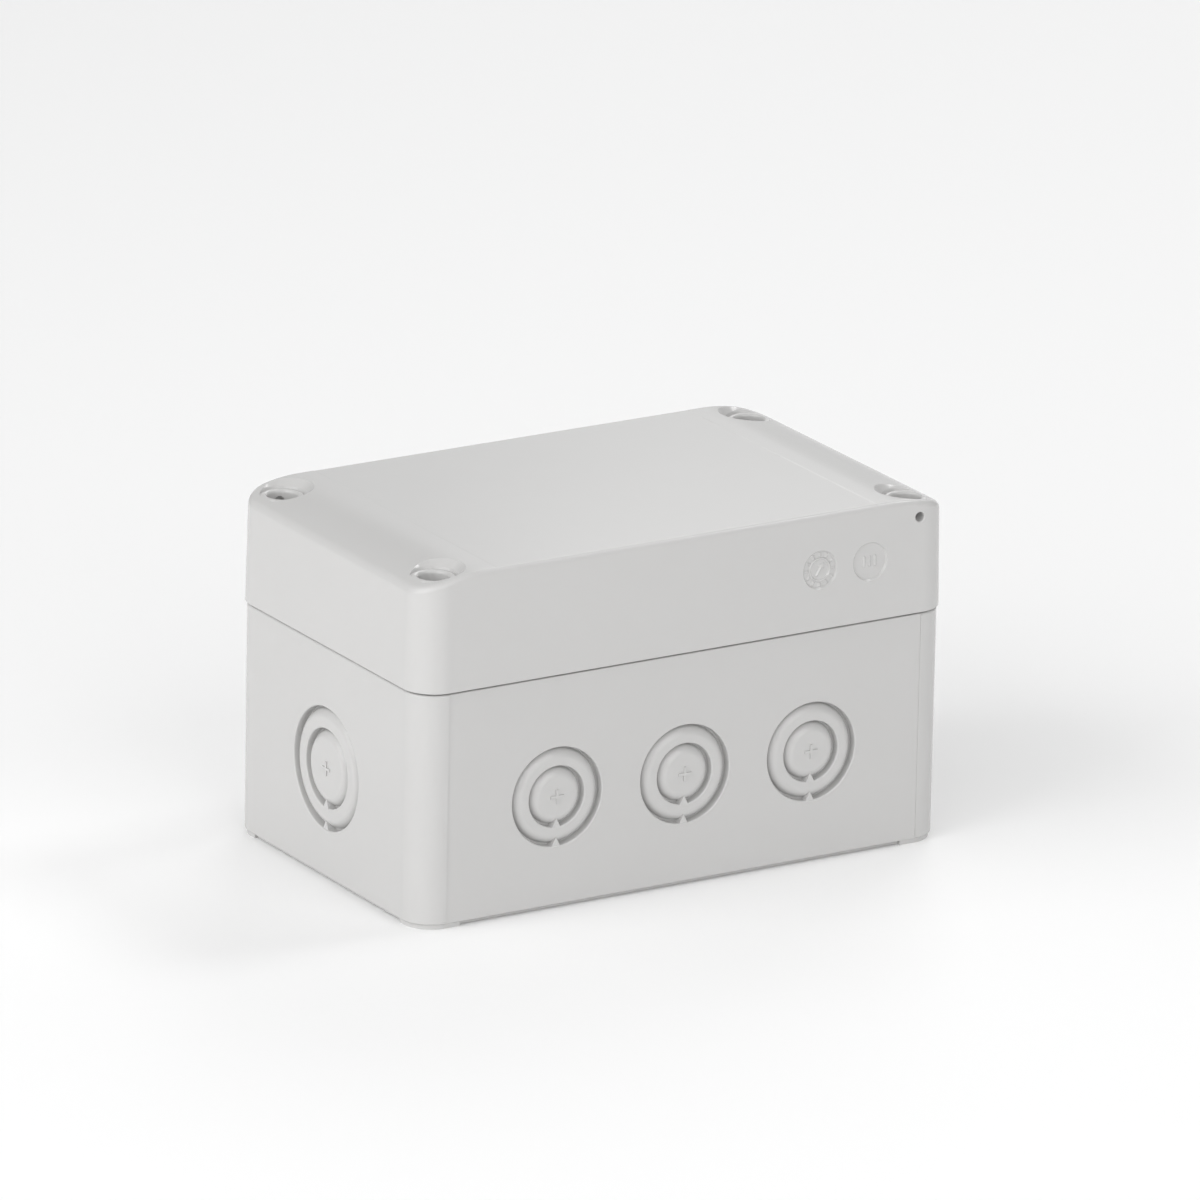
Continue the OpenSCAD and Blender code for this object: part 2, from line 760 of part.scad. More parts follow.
// Cross recess in a screw head: two crossed slots
module cross_recess(top, length, width, depth)
{
    for (turn = [0, 90])
        rotate(turn) translate([-length / 2, -width / 2, top - depth]) cube([length, width, depth + over]);
}

module lid_screw(sx, sy)
{
    color(STEEL)
        translate([sx * screw_x, sy * screw_y, 0])
            difference() {
                union() {
                    upright(head_d, head_z, head_z + head_h);
                    upright(shank_d, tip_z + thread_l - over, head_z + over);
                    upright(screw_d, tip_z + tip_h, tip_z + thread_l);
                    translate([0, 0, tip_z]) cylinder(d1 = tip_d, d2 = screw_d, h = tip_h);
                }
                cross_recess(head_z + head_h, recess_l, recess_w, recess_h);
            }
}

module retaining_ring(sx, sy)
{
    color(SEAL_GREY)
        translate([sx * screw_x, sy * screw_y, ring_rest_z])
            difference() {
                cylinder(d = ring_d, h = ring_t);
                translate([0, 0, -over]) cylinder(d = shank_d + 2 * run_fit, h = ring_t + 2 * over);
            }
}

module threaded_inserts()
{
    color(BRASS)
        in_four_corners(screw_x, screw_y)
            difference() {
                upright(insert_d, insert_z, rim_z);
                upright(insert_bore_d, insert_z - over, rim_z + over);
            }
}

// ---------- rail ----------

// Top-hat section of the rail, half of it, in Y and Z
function rail_half() =
    [[0, 0], [rail_channel_w / 2, 0], [rail_channel_w / 2, rail_h - rail_t], [rail_w / 2, rail_h - rail_t],
     [rail_w / 2, rail_h], [rail_channel_w / 2 - rail_t, rail_h],
     [rail_channel_w / 2 - rail_t, rail_t], [0, rail_t]];

module din_rail()
{
    color(STEEL)
        difference() {
            translate([-rail_l / 2, 0, rail_z])
                rotate([90, 0, 90]) linear_extrude(rail_l)
                    polygon(concat(rail_half(), reversed(flip(rail_half(), -1, 1))));
            for (side = [-1, 1])
                translate([side * rail_screw_x, 0, rail_z - over]) linear_extrude(rail_t + 2 * over) {
                    square([rail_slot_l - rail_slot_w, rail_slot_w], center = true);
                    for (end = [-1, 1])
                        translate([end * (rail_slot_l - rail_slot_w) / 2, 0]) circle(d = rail_slot_w);
                }
        }
}

module rail_screws()
{
    color(STEEL)
        for (side = [-1, 1])
            translate([side * rail_screw_x, 0, 0])
                difference() {
                    union() {
                        upright(rail_screw_d, rail_screw_tip_z, rail_z + rail_t + over);
                        upright(rail_head_d, rail_z + rail_t, rail_z + rail_t + rail_head_h);
                    }
                    cross_recess(rail_z + rail_t + rail_head_h, rail_recess_l, rail_recess_w, rail_recess_h);
                }
}

// ---------- terminals ----------

// Hooked foot that grips the rail: half of its outline from the middle outwards, from the rail's top
function foot_half(half_w) =
    let (tongue_y = rail_channel_w / 2 - rail_t - tongue_gap, tongue_z = rail_t + tongue_rise - rail_h,
         grip_y = rail_w / 2 + grip_gap, hook_z = -rail_t - hook_gap, hook_y = rail_w / 2 - hook_l)
    [[0, tongue_z], [tongue_y, tongue_z], [tongue_y, 0], [grip_y, 0], [grip_y, hook_z],
     [hook_y, hook_z], [hook_y, hook_z - hook_t], [grip_y + hook_lip_l, hook_z - hook_t - hook_lip_drop],
     [half_w, foot_side_z]];

// Outline of a terminal: foot, wire sides, screw shoulders and raised middle
function terminal_half() =
    concat(foot_half(terminal_half_w),
        [[terminal_half_w, shoulder_h - terminal_chamfer_h],
         [terminal_half_w - terminal_chamfer, shoulder_h],
         [crown_foot_half_w, shoulder_h], [crown_half_w + crown_chamfer, terminal_h - crown_chamfer],
         [crown_half_w, terminal_h], [0, terminal_h]]);

function bracket_half() =
    let (half_w = rail_w / 2 + bracket_overhang)
    concat(foot_half(half_w),
        [[half_w, bracket_h - bracket_side_drop], [bracket_bend_half_w, bracket_h - bracket_top_drop],
         [bracket_top_half_w, bracket_h], [0, bracket_h]]);

// A plate of a half outline and its mirror image, standing across the rail at x
module across_rail(half, x, t)
{
    translate([x, 0, rail_top])
        rotate([90, 0, 90]) linear_extrude(t) polygon(concat(half, reversed(flip(half, -1, 1))));
}

// Room inside a terminal for its bar, cages and screws, open towards the terminal's right
module terminal_room(x)
{
    open_t = terminal_t + over;
    seat_x = x + clamp_dx - bar_w / 2 - bar_seat_gap;
    translate([seat_x, -bar_l / 2 - bar_seat_gap, rail_top + bar_z - bar_seat_gap])
        cube([open_t, bar_l + 2 * bar_seat_gap, bar_t + 2 * bar_seat_gap]);
    for (side = [-1, 1]) {
        translate([x + terminal_web, side * clamp_y - cage_l / 2 - cage_gap, pocket_z])
            cube([open_t, cage_l + 2 * cage_gap, pocket_top - pocket_z]);
        translate([x + clamp_dx, side * clamp_y, 0]) {
            upright(clamp_d + 2 * clamp_clearance, pocket_top - over, clamp_head_z);
            upright(clamp_head_d + 2 * clamp_clearance, clamp_head_z - clamp_end_gap,
                    rail_top + shoulder_h + over);
        }
        translate([x + clamp_dx, side * clamp_y, rail_top + bar_z - cage_travel / 2])
            rotate([side * -90, 0, 0]) cylinder(d = entry_d, h = terminal_half_w);
    }
}

module terminal(index, tint)
{
    x = first_x + index * terminal_pitch;
    color(tint)
        difference() {
            across_rail(terminal_half(), x, terminal_t);
            terminal_room(x);
        }
}

module terminal_line() terminal(0, TERMINAL_GREY);
module terminal_switched() terminal(1, TERMINAL_GREY);
module terminal_neutral() terminal(2, NEUTRAL_BLUE);

// Metal foot that joins the earth bar to the rail, grown by a gap for the room it needs
module earth_foot_shape(x, gap)
{
    w = bar_w + 2 * gap;
    plate_l = rail_w - 2 * earth_plate_inset + 2 * gap;
    translate([x + clamp_dx - w / 2, -plate_l / 2, rail_top]) cube([w, plate_l, earth_plate_t + gap]);
    translate([x + clamp_dx - w / 2, -earth_post_l / 2 - gap, rail_top])
        cube([w, earth_post_l + 2 * gap, bar_z]);
}

module terminal_earth()
{
    x = first_x + (TERMINALS - 1) * terminal_pitch;
    difference() {
        terminal(TERMINALS - 1, EARTH_GREEN);
        earth_foot_shape(x, earth_gap);
        translate([x + clamp_dx, -earth_post_l / 2 - earth_gap, rail_top + earth_plate_t])
            cube([terminal_t, earth_post_l + 2 * earth_gap, bar_z - earth_plate_t]);
    }
}

module earth_foot()
{
    color(COPPER) earth_foot_shape(first_x + (TERMINALS - 1) * terminal_pitch, 0);
}

module end_plate()
{
    color(TERMINAL_GREY) across_rail(terminal_half(), end_plate_x, end_plate_t);
}

module end_bracket(x)
{
    color(TERMINAL_GREY)
        difference() {
            across_rail(bracket_half(), x, bracket_t);
            translate([x + bracket_t / 2, 0, 0]) {
                upright(bracket_screw_d + 2 * run_fit, rail_z, bracket_seat_z + over);
                upright(bracket_head_d + 2 * bracket_head_gap, bracket_seat_z, rail_top + bracket_h + over);
            }
        }
}

module end_bracket_left() end_bracket(stack_x);
module end_bracket_right() end_bracket(bracket_right_x);

// Straight slot across a screw head, from its top down
module slot_recess(top, head, width, depth)
{
    translate([-head, -width / 2, top - depth]) cube([2 * head, width, depth + over]);
}

module end_bracket_screws()
{
    head_top = bracket_seat_z + bracket_head_h;
    color(STEEL)
        for (x = [stack_x, bracket_right_x])
            translate([x + bracket_t / 2, 0, 0])
                difference() {
                    union() {
                        upright(bracket_screw_d, rail_z + rail_t, bracket_seat_z + over);
                        upright(bracket_head_d, bracket_seat_z, head_top);
                    }
                    slot_recess(head_top, bracket_head_d, bracket_slot_w, bracket_slot_h);
                }
}

module current_bars()
{
    color(COPPER)
        for (i = [0 : TERMINALS - 1])
            translate([first_x + i * terminal_pitch + clamp_dx - bar_w / 2, -bar_l / 2, rail_top + bar_z])
                cube([bar_w, bar_l, bar_t]);
}

module marker_tags()
{
    color(TAG_WHITE)
        for (i = [0 : TERMINALS - 1])
            translate([first_x + i * terminal_pitch + tag_inset, -tag_l / 2, rail_top + terminal_h])
                cube([terminal_t - 2 * tag_inset, tag_l, tag_h]);
}

// Place of one clamp: terminal index along the rail, side -1 at the front
module at_clamp(index, side)
{
    translate([first_x + index * terminal_pitch + clamp_dx, side * clamp_y, 0]) children();
}

module clamp_screw(index, side)
{
    head_top = clamp_head_z + clamp_head_h;
    color(STEEL)
        at_clamp(index, side)
            difference() {
                union() {
                    upright(clamp_d, rail_top + bar_z + bar_t + clamp_end_gap, clamp_head_z + over);
                    upright(clamp_head_d, clamp_head_z, head_top);
                }
                slot_recess(head_top, clamp_head_d, clamp_slot_w, clamp_slot_h);
            }
}

module clamp_cage(index, side)
{
    inner_h = cage_h - cage_jaw_t - cage_top_t;
    color(STEEL)
        at_clamp(index, side)
            difference() {
                translate([-cage_w / 2, -cage_l / 2, cage_z]) cube([cage_w, cage_l, cage_h]);
                translate([cage_side_t - cage_w / 2, -cage_l, cage_z + cage_jaw_t])
                    cube([cage_w - 2 * cage_side_t, 2 * cage_l, inner_h]);
                upright(clamp_d + 2 * run_fit, cage_z + cage_jaw_t + over, cage_z + cage_h + over);
            }
}

base();
lid();
lid_gasket();
lid_screw(-1, -1);  // lid_screw_front_left
lid_screw(1, -1);  // lid_screw_front_right
lid_screw(-1, 1);  // lid_screw_back_left
lid_screw(1, 1);  // lid_screw_back_right
retaining_ring(-1, -1);  // retaining_ring_front_left
retaining_ring(1, -1);  // retaining_ring_front_right
retaining_ring(-1, 1);  // retaining_ring_back_left
retaining_ring(1, 1);  // retaining_ring_back_right
threaded_inserts();
din_rail();
rail_screws();
end_bracket_left();
end_bracket_right();
end_bracket_screws();
terminal_line();
terminal_switched();
terminal_neutral();
terminal_earth();
end_plate();
current_bars();
earth_foot();
marker_tags();
clamp_screw(0, -1);  // clamp_screw_line_front
clamp_screw(0, 1);  // clamp_screw_line_back
clamp_screw(1, -1);  // clamp_screw_switched_front
clamp_screw(1, 1);  // clamp_screw_switched_back
clamp_screw(2, -1);  // clamp_screw_neutral_front
clamp_screw(2, 1);  // clamp_screw_neutral_back
clamp_screw(3, -1);  // clamp_screw_earth_front
clamp_screw(3, 1);  // clamp_screw_earth_back
clamp_cage(0, -1);  // clamp_cage_line_front
clamp_cage(0, 1);  // clamp_cage_line_back
clamp_cage(1, -1);  // clamp_cage_switched_front
clamp_cage(1, 1);  // clamp_cage_switched_back
clamp_cage(2, -1);  // clamp_cage_neutral_front
clamp_cage(2, 1);  // clamp_cage_neutral_back
clamp_cage(3, -1);  // clamp_cage_earth_front
clamp_cage(3, 1);  // clamp_cage_earth_back
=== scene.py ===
"""Electrical junction box: the finished look of each piece, built round its fixed frame.

Lengths are millimetres inside the mesh code, and every mesh is scaled to metres as it is made.
X runs along the box, Y from its front to its back, Z up.
"""

import math
from types import SimpleNamespace

import bmesh
import bpy
from bpy.props import FloatProperty, FloatVectorProperty, PointerProperty
from mathutils import Matrix, Vector


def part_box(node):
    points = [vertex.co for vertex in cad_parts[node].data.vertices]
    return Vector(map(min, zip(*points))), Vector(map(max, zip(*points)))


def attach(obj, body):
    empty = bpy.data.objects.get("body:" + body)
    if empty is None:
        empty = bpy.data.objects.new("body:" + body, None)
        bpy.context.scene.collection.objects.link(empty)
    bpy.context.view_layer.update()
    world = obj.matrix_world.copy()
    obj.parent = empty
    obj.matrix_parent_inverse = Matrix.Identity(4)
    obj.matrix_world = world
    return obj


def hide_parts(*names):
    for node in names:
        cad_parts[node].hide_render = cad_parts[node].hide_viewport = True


bl_info = {
    "name": "Electrical junction box",
    "version": (1, 0, 0),
    "blender": (4, 5, 0),
    "location": "View3D > Sidebar > Junction box",
    "description": "Builds the shells, seals, fasteners and terminals of a junction box",
    "category": "Object",
}

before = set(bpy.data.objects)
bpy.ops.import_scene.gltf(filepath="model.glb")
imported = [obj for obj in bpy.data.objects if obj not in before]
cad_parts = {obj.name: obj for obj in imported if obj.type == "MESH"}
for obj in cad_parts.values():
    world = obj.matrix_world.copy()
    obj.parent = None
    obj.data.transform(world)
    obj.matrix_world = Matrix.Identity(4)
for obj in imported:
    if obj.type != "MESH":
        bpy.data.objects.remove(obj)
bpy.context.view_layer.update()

MM = 0.001
CORNERS = {
    "front_left": (-1, -1),
    "front_right": (1, -1),
    "back_left": (-1, 1),
    "back_right": (1, 1),
}
CIRCUITS = ("line", "switched", "neutral", "earth")
SIDES = ("front", "back")
# Lean of the lid's sides, in degrees
DRAFT = 1.0
LEAN = math.tan(math.radians(DRAFT))
# Half the width of the slope round the roof's sunk panel
PANEL_SLOPE = 0.3
INSERT_RADIUS = 2.8
# Nearer to the axis than this, a profile's point closes to one vertex
ON_AXIS = 1e-6
WORLD_STRENGTH = 0.38


# ---------- sizes and colours ----------


def box_mm(node):
    """Lowest and highest corner of a frame node, in millimetres."""
    low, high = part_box(node)
    return low / MM, high / MM


def length(name, millimetres, description):
    """A length property, given in millimetres."""
    return FloatProperty(name=name, description=description, default=millimetres * MM, unit="LENGTH")


def colour(name, rgb, description):
    """A colour property."""
    return FloatVectorProperty(
        name=name, description=description, default=rgb, size=3, min=0.0, max=1.0, subtype="COLOR"
    )


BASE_LOW, BASE_HIGH = box_mm("base")
LID_LOW, LID_HIGH = box_mm("lid")
SCREW_LOW, SCREW_HIGH = box_mm("lid_screw_front_left")
INSERT_LOW, INSERT_HIGH = box_mm("threaded_inserts")
GASKET_LOW, GASKET_HIGH = box_mm("lid_gasket")


class JunctionBoxShellSizes(bpy.types.PropertyGroup):
    """Sizes of the base and the lid"""

    corner_radius: length("Corner radius", 6.8, "Radius of the lid's upright corners")
    overhang: length("Overhang", 0.4, "How far the lid stands out past the base")
    wall: length("Wall", 3.0, "Thickness of the walls that carry the seal")
    floor: length("Floor", 2.6, "Thickness of the floor")
    skin: length("Skin", 2.4, "Thickness of the outer wall round the dry corner channels")
    roof: length("Roof", 2.6, "Thickness of the lid's roof")
    end_fall: length("End fall", 14.5, "Length of the roof that falls away at each end")
    end_fall_radius: length("End fall radius", 34.0, "Radius of the falling roof")
    panel_inset: length("Panel inset", 3.5, "From the level roof's end to its sunk panel")
    panel_sink: length("Panel sink", 0.05, "Depth of the roof's sunk panel")
    top_edge: length("Top edge", 1.2, "Radius of the lid's rounded top edge")
    base_edge: length("Base edge", 0.4, "Radius of the base's rounded bottom edge")
    rim_edge: length("Base rim edge", 0.5, "Radius of the base's edge at the parting line")
    lid_rim_edge: length("Lid rim edge", 0.15, "Radius of the lid's edge at the parting line")
    plinth_inset: length("Plinth inset", 1.2, "From the base's outside to the rib under its edge")
    plinth_width: length("Plinth width", 1.2, "Width of the rib under the base's edge")
    plinth_gap: length("Plinth gap", 0.12, "From the rib under the base's edge to the ground")
    foot_height: length("Foot height", 1.0, "Height of the corner feet")
    foot_length: length("Foot length", 10.0, "Length of a corner foot")
    foot_width: length("Foot width", 8.0, "Width of a corner foot")
    foot_inset: length("Foot inset", 0.5, "From the base's outside to a foot's outside")
    side_panel_inset: length("Side panel inset", 6.6, "From the base's end to its long sides' sunk panel")
    side_panel_sink: length("Side panel sink", 0.15, "Depth of the long sides' sunk panel")
    zone_length: length("Zone length", 10.1, "Length of the dry corner zones")
    zone_width: length("Zone width", 18.3, "Width of the dry corner zones")
    cavity_radius: length("Cavity radius", 2.0, "Radius inside the sealed space's corners")
    zone_radius: length("Zone radius", 4.0, "Radius of the corner zones' inner edges")
    channel_floor: length("Channel floor", 4.0, "Floor thickness in the dry channels")
    post_y_base: length("Base post", 26.0, "Where the base's solid corner posts begin")
    post_y_lid: length("Lid post", 25.1, "Where the lid's solid corner posts begin")
    mount_x: length("Mount x", 56.0, "Wall screw holes, along the box")
    mount_y: length("Mount y", 22.5, "Wall screw holes, across the box")
    mount_diameter: length("Mount diameter", 4.6, "Diameter of the wall screw holes")
    gasket_inset: length("Gasket inset", 0.6, "From the sealed space to the gasket")
    gasket_width: length("Gasket width", 1.8, "Width of the gasket")
    groove_height: length("Groove height", 2.2, "Depth of the gasket's groove")
    rib_width: length("Rib width", 1.0, "Width of the rib that presses into the gasket")


class JunctionBoxFeatureSizes(bpy.types.PropertyGroup):
    """Sizes of the knockouts, wells and marks"""

    knockout_z: length("Knockout height", 23.75, "Height of the knockouts' centres")
    knockout_pitch: length("Knockout pitch", 30.0, "Distance between knockouts on a long side")
    long_ring: length("Long side ring", 20.9, "Outer diameter of the large rings on the long sides")
    long_core: length("Long side core", 12.9, "Outer diameter of the small rings on the long sides")
    end_ring: length("End ring", 25.7, "Outer diameter of the large rings on the ends")
    end_core: length("End core", 16.6, "Outer diameter of the small rings on the ends")
    groove_depth: length("Groove depth", 1.8, "Depth of the knockout grooves")
    groove_floor: length("Groove floor", 0.4, "Width of the flat floor of the knockout grooves")
    groove_rim: length("Groove rim", 0.3, "Radius of the rounded outer edge of the knockout grooves")
    shoulder: length("Shoulder", 2.1, "Width of the domed shoulder inside each groove")
    face_sink: length("Face sink", 0.15, "Depth of the knockouts' faces below the wall")
    well_diameter: length("Well diameter", 6.2, "Diameter of the screw wells")
    pocket_depth: length("Pocket depth", 1.95, "Depth of the pocket round each well")
    pocket_ledge: length("Pocket ledge", 1.6, "Ledge between a well and its pocket's wall")
    pocket_flare: length("Pocket flare", 1.8, "Growth of the pocket's radius up to the lid's top")
    pocket_rim: length("Pocket rim", 0.3, "Rounding of the pocket's rim")
    recess_diameter: length("Ring recess", 6.6, "Diameter of the recess for the retaining ring")
    web_bottom: length("Web bottom", 57.8, "Height of the web's underside")
    web_top: length("Web top", 60.0, "Height of the ledge that the screw head rests on")
    web_hole: length("Web hole", 4.3, "Diameter of the hole in the web")
    wire_hole: length("Wire hole", 2.0, "Diameter of the hole for a sealing wire")
    wire_hole_inset: length("Wire hole inset", 7.95, "From the lid's end to the sealing wire hole")
    wire_hole_drop: length("Wire hole drop", 4.05, "From the lid's top to the sealing wire hole")
    mark_diameter: length("Mark diameter", 8.2, "Diameter of the two round marks")
    mark_depth: length("Mark depth", 0.4, "Depth of the two round marks")
    mark_bevel: length("Mark bevel", 0.35, "Width of the sloping rim of the two round marks")
    mark_relief: length("Mark relief", 0.28, "Height of the ticks, arrow and bars")
    dial_core: length("Dial core", 4.7, "Diameter of the dial's turning middle")
    mark_z: length("Mark height", 62.3, "Height of the round marks' centres")
    dial_inset: length("Dial inset", 31.6, "From the lid's end to the dial mark")
    bar_inset: length("Bar mark inset", 19.7, "From the lid's end to the bar mark")


class JunctionBoxColours(bpy.types.PropertyGroup):
    """Colours of the finishes"""

    shell: colour("Shell", (0.545, 0.541, 0.535), "Light grey of the base and the lid")
    seal: colour("Seal", (0.035, 0.035, 0.038), "Dark grey of the gasket and the rings")
    terminal: colour("Terminal", (0.36, 0.37, 0.37), "Grey of the terminals")
    neutral: colour("Neutral", (0.03, 0.13, 0.45), "Blue of the neutral terminal")
    earth_green: colour("Earth green", (0.03, 0.26, 0.07), "Green of the earth terminal")
    earth_yellow: colour("Earth yellow", (0.78, 0.60, 0.03), "Yellow of the earth terminal")
    tag: colour("Tag", (0.85, 0.85, 0.82), "White of the blank tags")
    steel: colour("Steel", (0.66, 0.67, 0.69), "Steel of the screws")
    zinc: colour("Zinc", (0.70, 0.70, 0.68), "Zinc of the rail and the cages")
    brass: colour("Brass", (0.78, 0.62, 0.32), "Brass of the inserts")
    copper: colour("Copper", (0.80, 0.48, 0.33), "Copper of the current bars")
    floor: colour("Floor", (0.97, 0.97, 0.97), "Pale floor")


def in_mm(group):
    """The lengths of a property group in millimetres, by name."""
    return SimpleNamespace(**{name: getattr(group, name) / MM for name in group.__annotations__})


def shell_sizes():
    """Sizes of the shells, with the values that follow from them."""
    s = in_mm(bpy.context.scene.junction_box_shell)
    s.lid_x, s.lid_y = LID_HIGH.x, LID_HIGH.y
    s.base_x, s.base_y = BASE_HIGH.x, BASE_HIGH.y
    s.base_radius = s.corner_radius - s.overhang
    s.lid_z, s.top_z = LID_LOW.z, LID_HIGH.z
    s.rim_z = INSERT_HIGH.z
    s.rib_z = BASE_HIGH.z
    s.floor_z = s.foot_height + s.floor
    s.channel_z = s.foot_height + s.channel_floor
    s.cavity_x = s.base_x - s.wall
    s.cavity_y = s.base_y - s.wall
    s.zone_x = s.cavity_x - s.zone_length
    s.zone_y = s.cavity_y - s.zone_width
    s.level_x = s.lid_x - s.end_fall
    s.panel_x = s.level_x - s.panel_inset
    s.screw_x = -(SCREW_LOW.x + SCREW_HIGH.x) / 2
    s.screw_y = -(SCREW_LOW.y + SCREW_HIGH.y) / 2
    return s


# ---------- plans and profiles ----------


def arc(x, y, radius, start, end, steps):
    """Points on an arc, angles in degrees."""
    turns = [math.radians(start + (end - start) * i / steps) for i in range(steps + 1)]
    return [(x + radius * math.cos(t), y + radius * math.sin(t)) for t in turns]


def rounded_outline(half_x, half_y, radius, stations=(), steps=14):
    """A rectangle with round corners, counter-clockwise, with extra points at stations along X."""
    x, y = half_x - radius, half_y - radius
    inner = sorted(s for s in stations if abs(s) < x - 0.01)
    points = arc(x, y, radius, 0, 90, steps)
    points += [(s, half_y) for s in reversed(inner)]
    points += arc(-x, y, radius, 90, 180, steps)
    points += arc(-x, -y, radius, 180, 270, steps)
    points += [(s, -half_y) for s in inner]
    points += arc(x, -y, radius, 270, 360, steps)
    return points


def seal_plan(s, grow, steps=8):
    """Cross-shaped plan of the sealed space, grown outwards, counter-clockwise."""
    x, y = s.cavity_x + grow, s.cavity_y + grow
    zone_x, zone_y = s.zone_x + grow, s.zone_y + grow
    outer, inner = s.cavity_radius + grow, s.zone_radius - grow
    quarter = (
        arc(x - outer, zone_y - outer, outer, 0, 90, steps)
        + arc(zone_x + inner, zone_y + inner, inner, 270, 180, steps)
        + arc(zone_x - outer, y - outer, outer, 0, 90, steps)
    )
    mirrored = [(-px, py) for px, py in reversed(quarter)]
    upper = quarter + mirrored
    return upper + [(-px, -py) for px, py in upper]


def channel_plan(s, half_x, post_y, steps=6):
    """Plan of the dry channel between seal wall, outer skin and post, where X and Y are positive."""
    edge, inner_edge = 0.8, 1.0
    outer_x = half_x - s.skin
    inner_x = s.zone_x + s.wall
    inner_y = s.zone_y + s.wall
    points = arc(outer_x - edge, post_y - edge, edge, 0, 90, steps)
    points += arc(inner_x + edge, post_y - edge, edge, 90, 180, steps)
    points += arc(inner_x + inner_edge, inner_y + inner_edge, inner_edge, 180, 270, steps)
    points += arc(outer_x - edge, inner_y + edge, edge, 270, 360, steps)
    return points


def cross_outline(long, thin):
    """Plan of a cross: half length and half width of its bars."""
    return [
        (thin, thin), (thin, long), (-thin, long), (-thin, thin), (-long, thin), (-long, -thin),
        (-thin, -thin), (-thin, -long), (thin, -long), (thin, -thin), (long, -thin), (long, thin),
    ]


def at_height(plan, z):
    """The points of a plan at one height."""
    return [(x, y, z) for x, y in plan]


# ---------- mesh building ----------


class Solid:
    """A closed mesh under construction, in millimetres."""

    def __init__(self):
        self.bm = bmesh.new()

    def ring(self, points):
        """Adds a ring of points and returns its vertices."""
        return [self.bm.verts.new(p) for p in points]

    def face(self, verts):
        """Adds one face, leaving out repeated corners."""
        corners = [v for i, v in enumerate(verts) if v is not verts[i - 1]]
        if len(corners) > 2:
            return self.bm.faces.new(corners)
        return None

    def bridge(self, low, high):
        """Joins two rings of the same count with a band of quads."""
        count = len(low)
        for i in range(count):
            j = (i + 1) % count
            self.face([low[i], low[j], high[j], high[i]])

    def loft(self, rings, caps=True):
        """Bands between rings, bottom to top, with flat ends. Without caps the last joins the first."""
        made = [self.ring(points) for points in rings]
        for low, high in zip(made, made[1:]):
            self.bridge(low, high)
        if caps:
            self.face(list(reversed(made[0])))
            self.face(made[-1])
        else:
            self.bridge(made[-1], made[0])
        return made

    def prism(self, plan, low, high, edge=0.0, flare=None):
        """A plan between two heights. flare(grow) gives the plan grown, to round the lower edge."""
        rings = []
        if edge and flare:
            for t in range(5):
                turn = math.radians(90 * t / 4)
                grow = edge * (math.sin(turn) - 1)
                rings.append(at_height(flare(grow), low + edge * (1 - math.cos(turn))))
        else:
            rings.append(at_height(plan, low))
        rings.append(at_height(plan, high))
        self.loft(rings)

    def lathe(self, profile, at=(0, 0, 0), segments=64):
        """A solid of revolution from (radius, height) points; both ends close on the axis."""
        self.placed_lathe(profile, Matrix.Translation(at), segments)

    def placed_lathe(self, profile, place, segments=64):
        """A solid of revolution, put in place by a matrix."""
        bands = []
        for radius, height in profile:
            if radius < ON_AXIS:
                vert = self.bm.verts.new(place @ Vector((0, 0, height)))
                bands.append([vert] * segments)
                continue
            turns = [math.tau * i / segments for i in range(segments)]
            bands.append(self.ring(
                place @ Vector((radius * math.cos(t), radius * math.sin(t), height)) for t in turns
            ))
        for low, high in zip(bands, bands[1:]):
            self.bridge_poles(low, high)
        if profile[0][0] > ON_AXIS:
            self.face(list(reversed(bands[0])))
        if profile[-1][0] > ON_AXIS:
            self.face(bands[-1])

    def bridge_poles(self, low, high):
        """A band between two rings, either of which may be one point."""
        count = len(low)
        for i in range(count):
            j = (i + 1) % count
            verts = []
            for v in (low[i], low[j], high[j], high[i]):
                if v not in verts:
                    verts.append(v)
            if len(verts) > 2:
                self.bm.faces.new(verts)

    def ring_lathe(self, section, at=(0, 0, 0), segments=48):
        """A ring of revolution whose closed section stays off the axis."""
        turns = [math.tau * i / segments for i in range(segments)]
        centre = Vector(at)
        bands = [
            self.ring(centre + Vector((r * math.cos(t), r * math.sin(t), h)) for t in turns)
            for r, h in section
        ]
        for low, high in zip(bands, bands[1:] + bands[:1]):
            self.bridge(low, high)

    def block(self, low, high):
        """A box between two corners."""
        (x0, y0, z0), (x1, y1, z1) = low, high
        self.prism([(x0, y0), (x1, y0), (x1, y1), (x0, y1)], z0, z1)

    def piece(self, name):
        """Turns the solid into a Blender object, still in millimetres."""
        bmesh.ops.recalc_face_normals(self.bm, faces=self.bm.faces)
        mesh = bpy.data.meshes.new(name)
        self.bm.to_mesh(mesh)
        self.bm.free()
        obj = bpy.data.objects.new(name, mesh)
        bpy.context.scene.collection.objects.link(obj)
        return obj


def apply_modifiers(obj):
    """Replaces the object's mesh by what its modifiers make of it."""
    graph = bpy.context.evaluated_depsgraph_get()
    made = bpy.data.meshes.new_from_object(obj.evaluated_get(graph))
    old = obj.data
    obj.modifiers.clear()
    obj.data = made
    bpy.data.meshes.remove(old)


def combine(obj, solid, operation, overlapping=False):
    """Cuts a solid from a piece, or joins it on. Shells that overlap each other are united first."""
    tool = solid.piece("tool")
    modifier = obj.modifiers.new("combine", "BOOLEAN")
    modifier.operation = operation
    modifier.solver = "EXACT"
    modifier.use_self = overlapping
    modifier.object = tool
    apply_modifiers(obj)
    mesh = tool.data
    bpy.data.objects.remove(tool)
    bpy.data.meshes.remove(mesh)


def cut(obj, solid, overlapping=False):
    """Cuts a solid from a piece."""
    combine(obj, solid, "DIFFERENCE", overlapping)


def join(obj, solid):
    """Joins a solid on to a piece."""
    combine(obj, solid, "UNION")


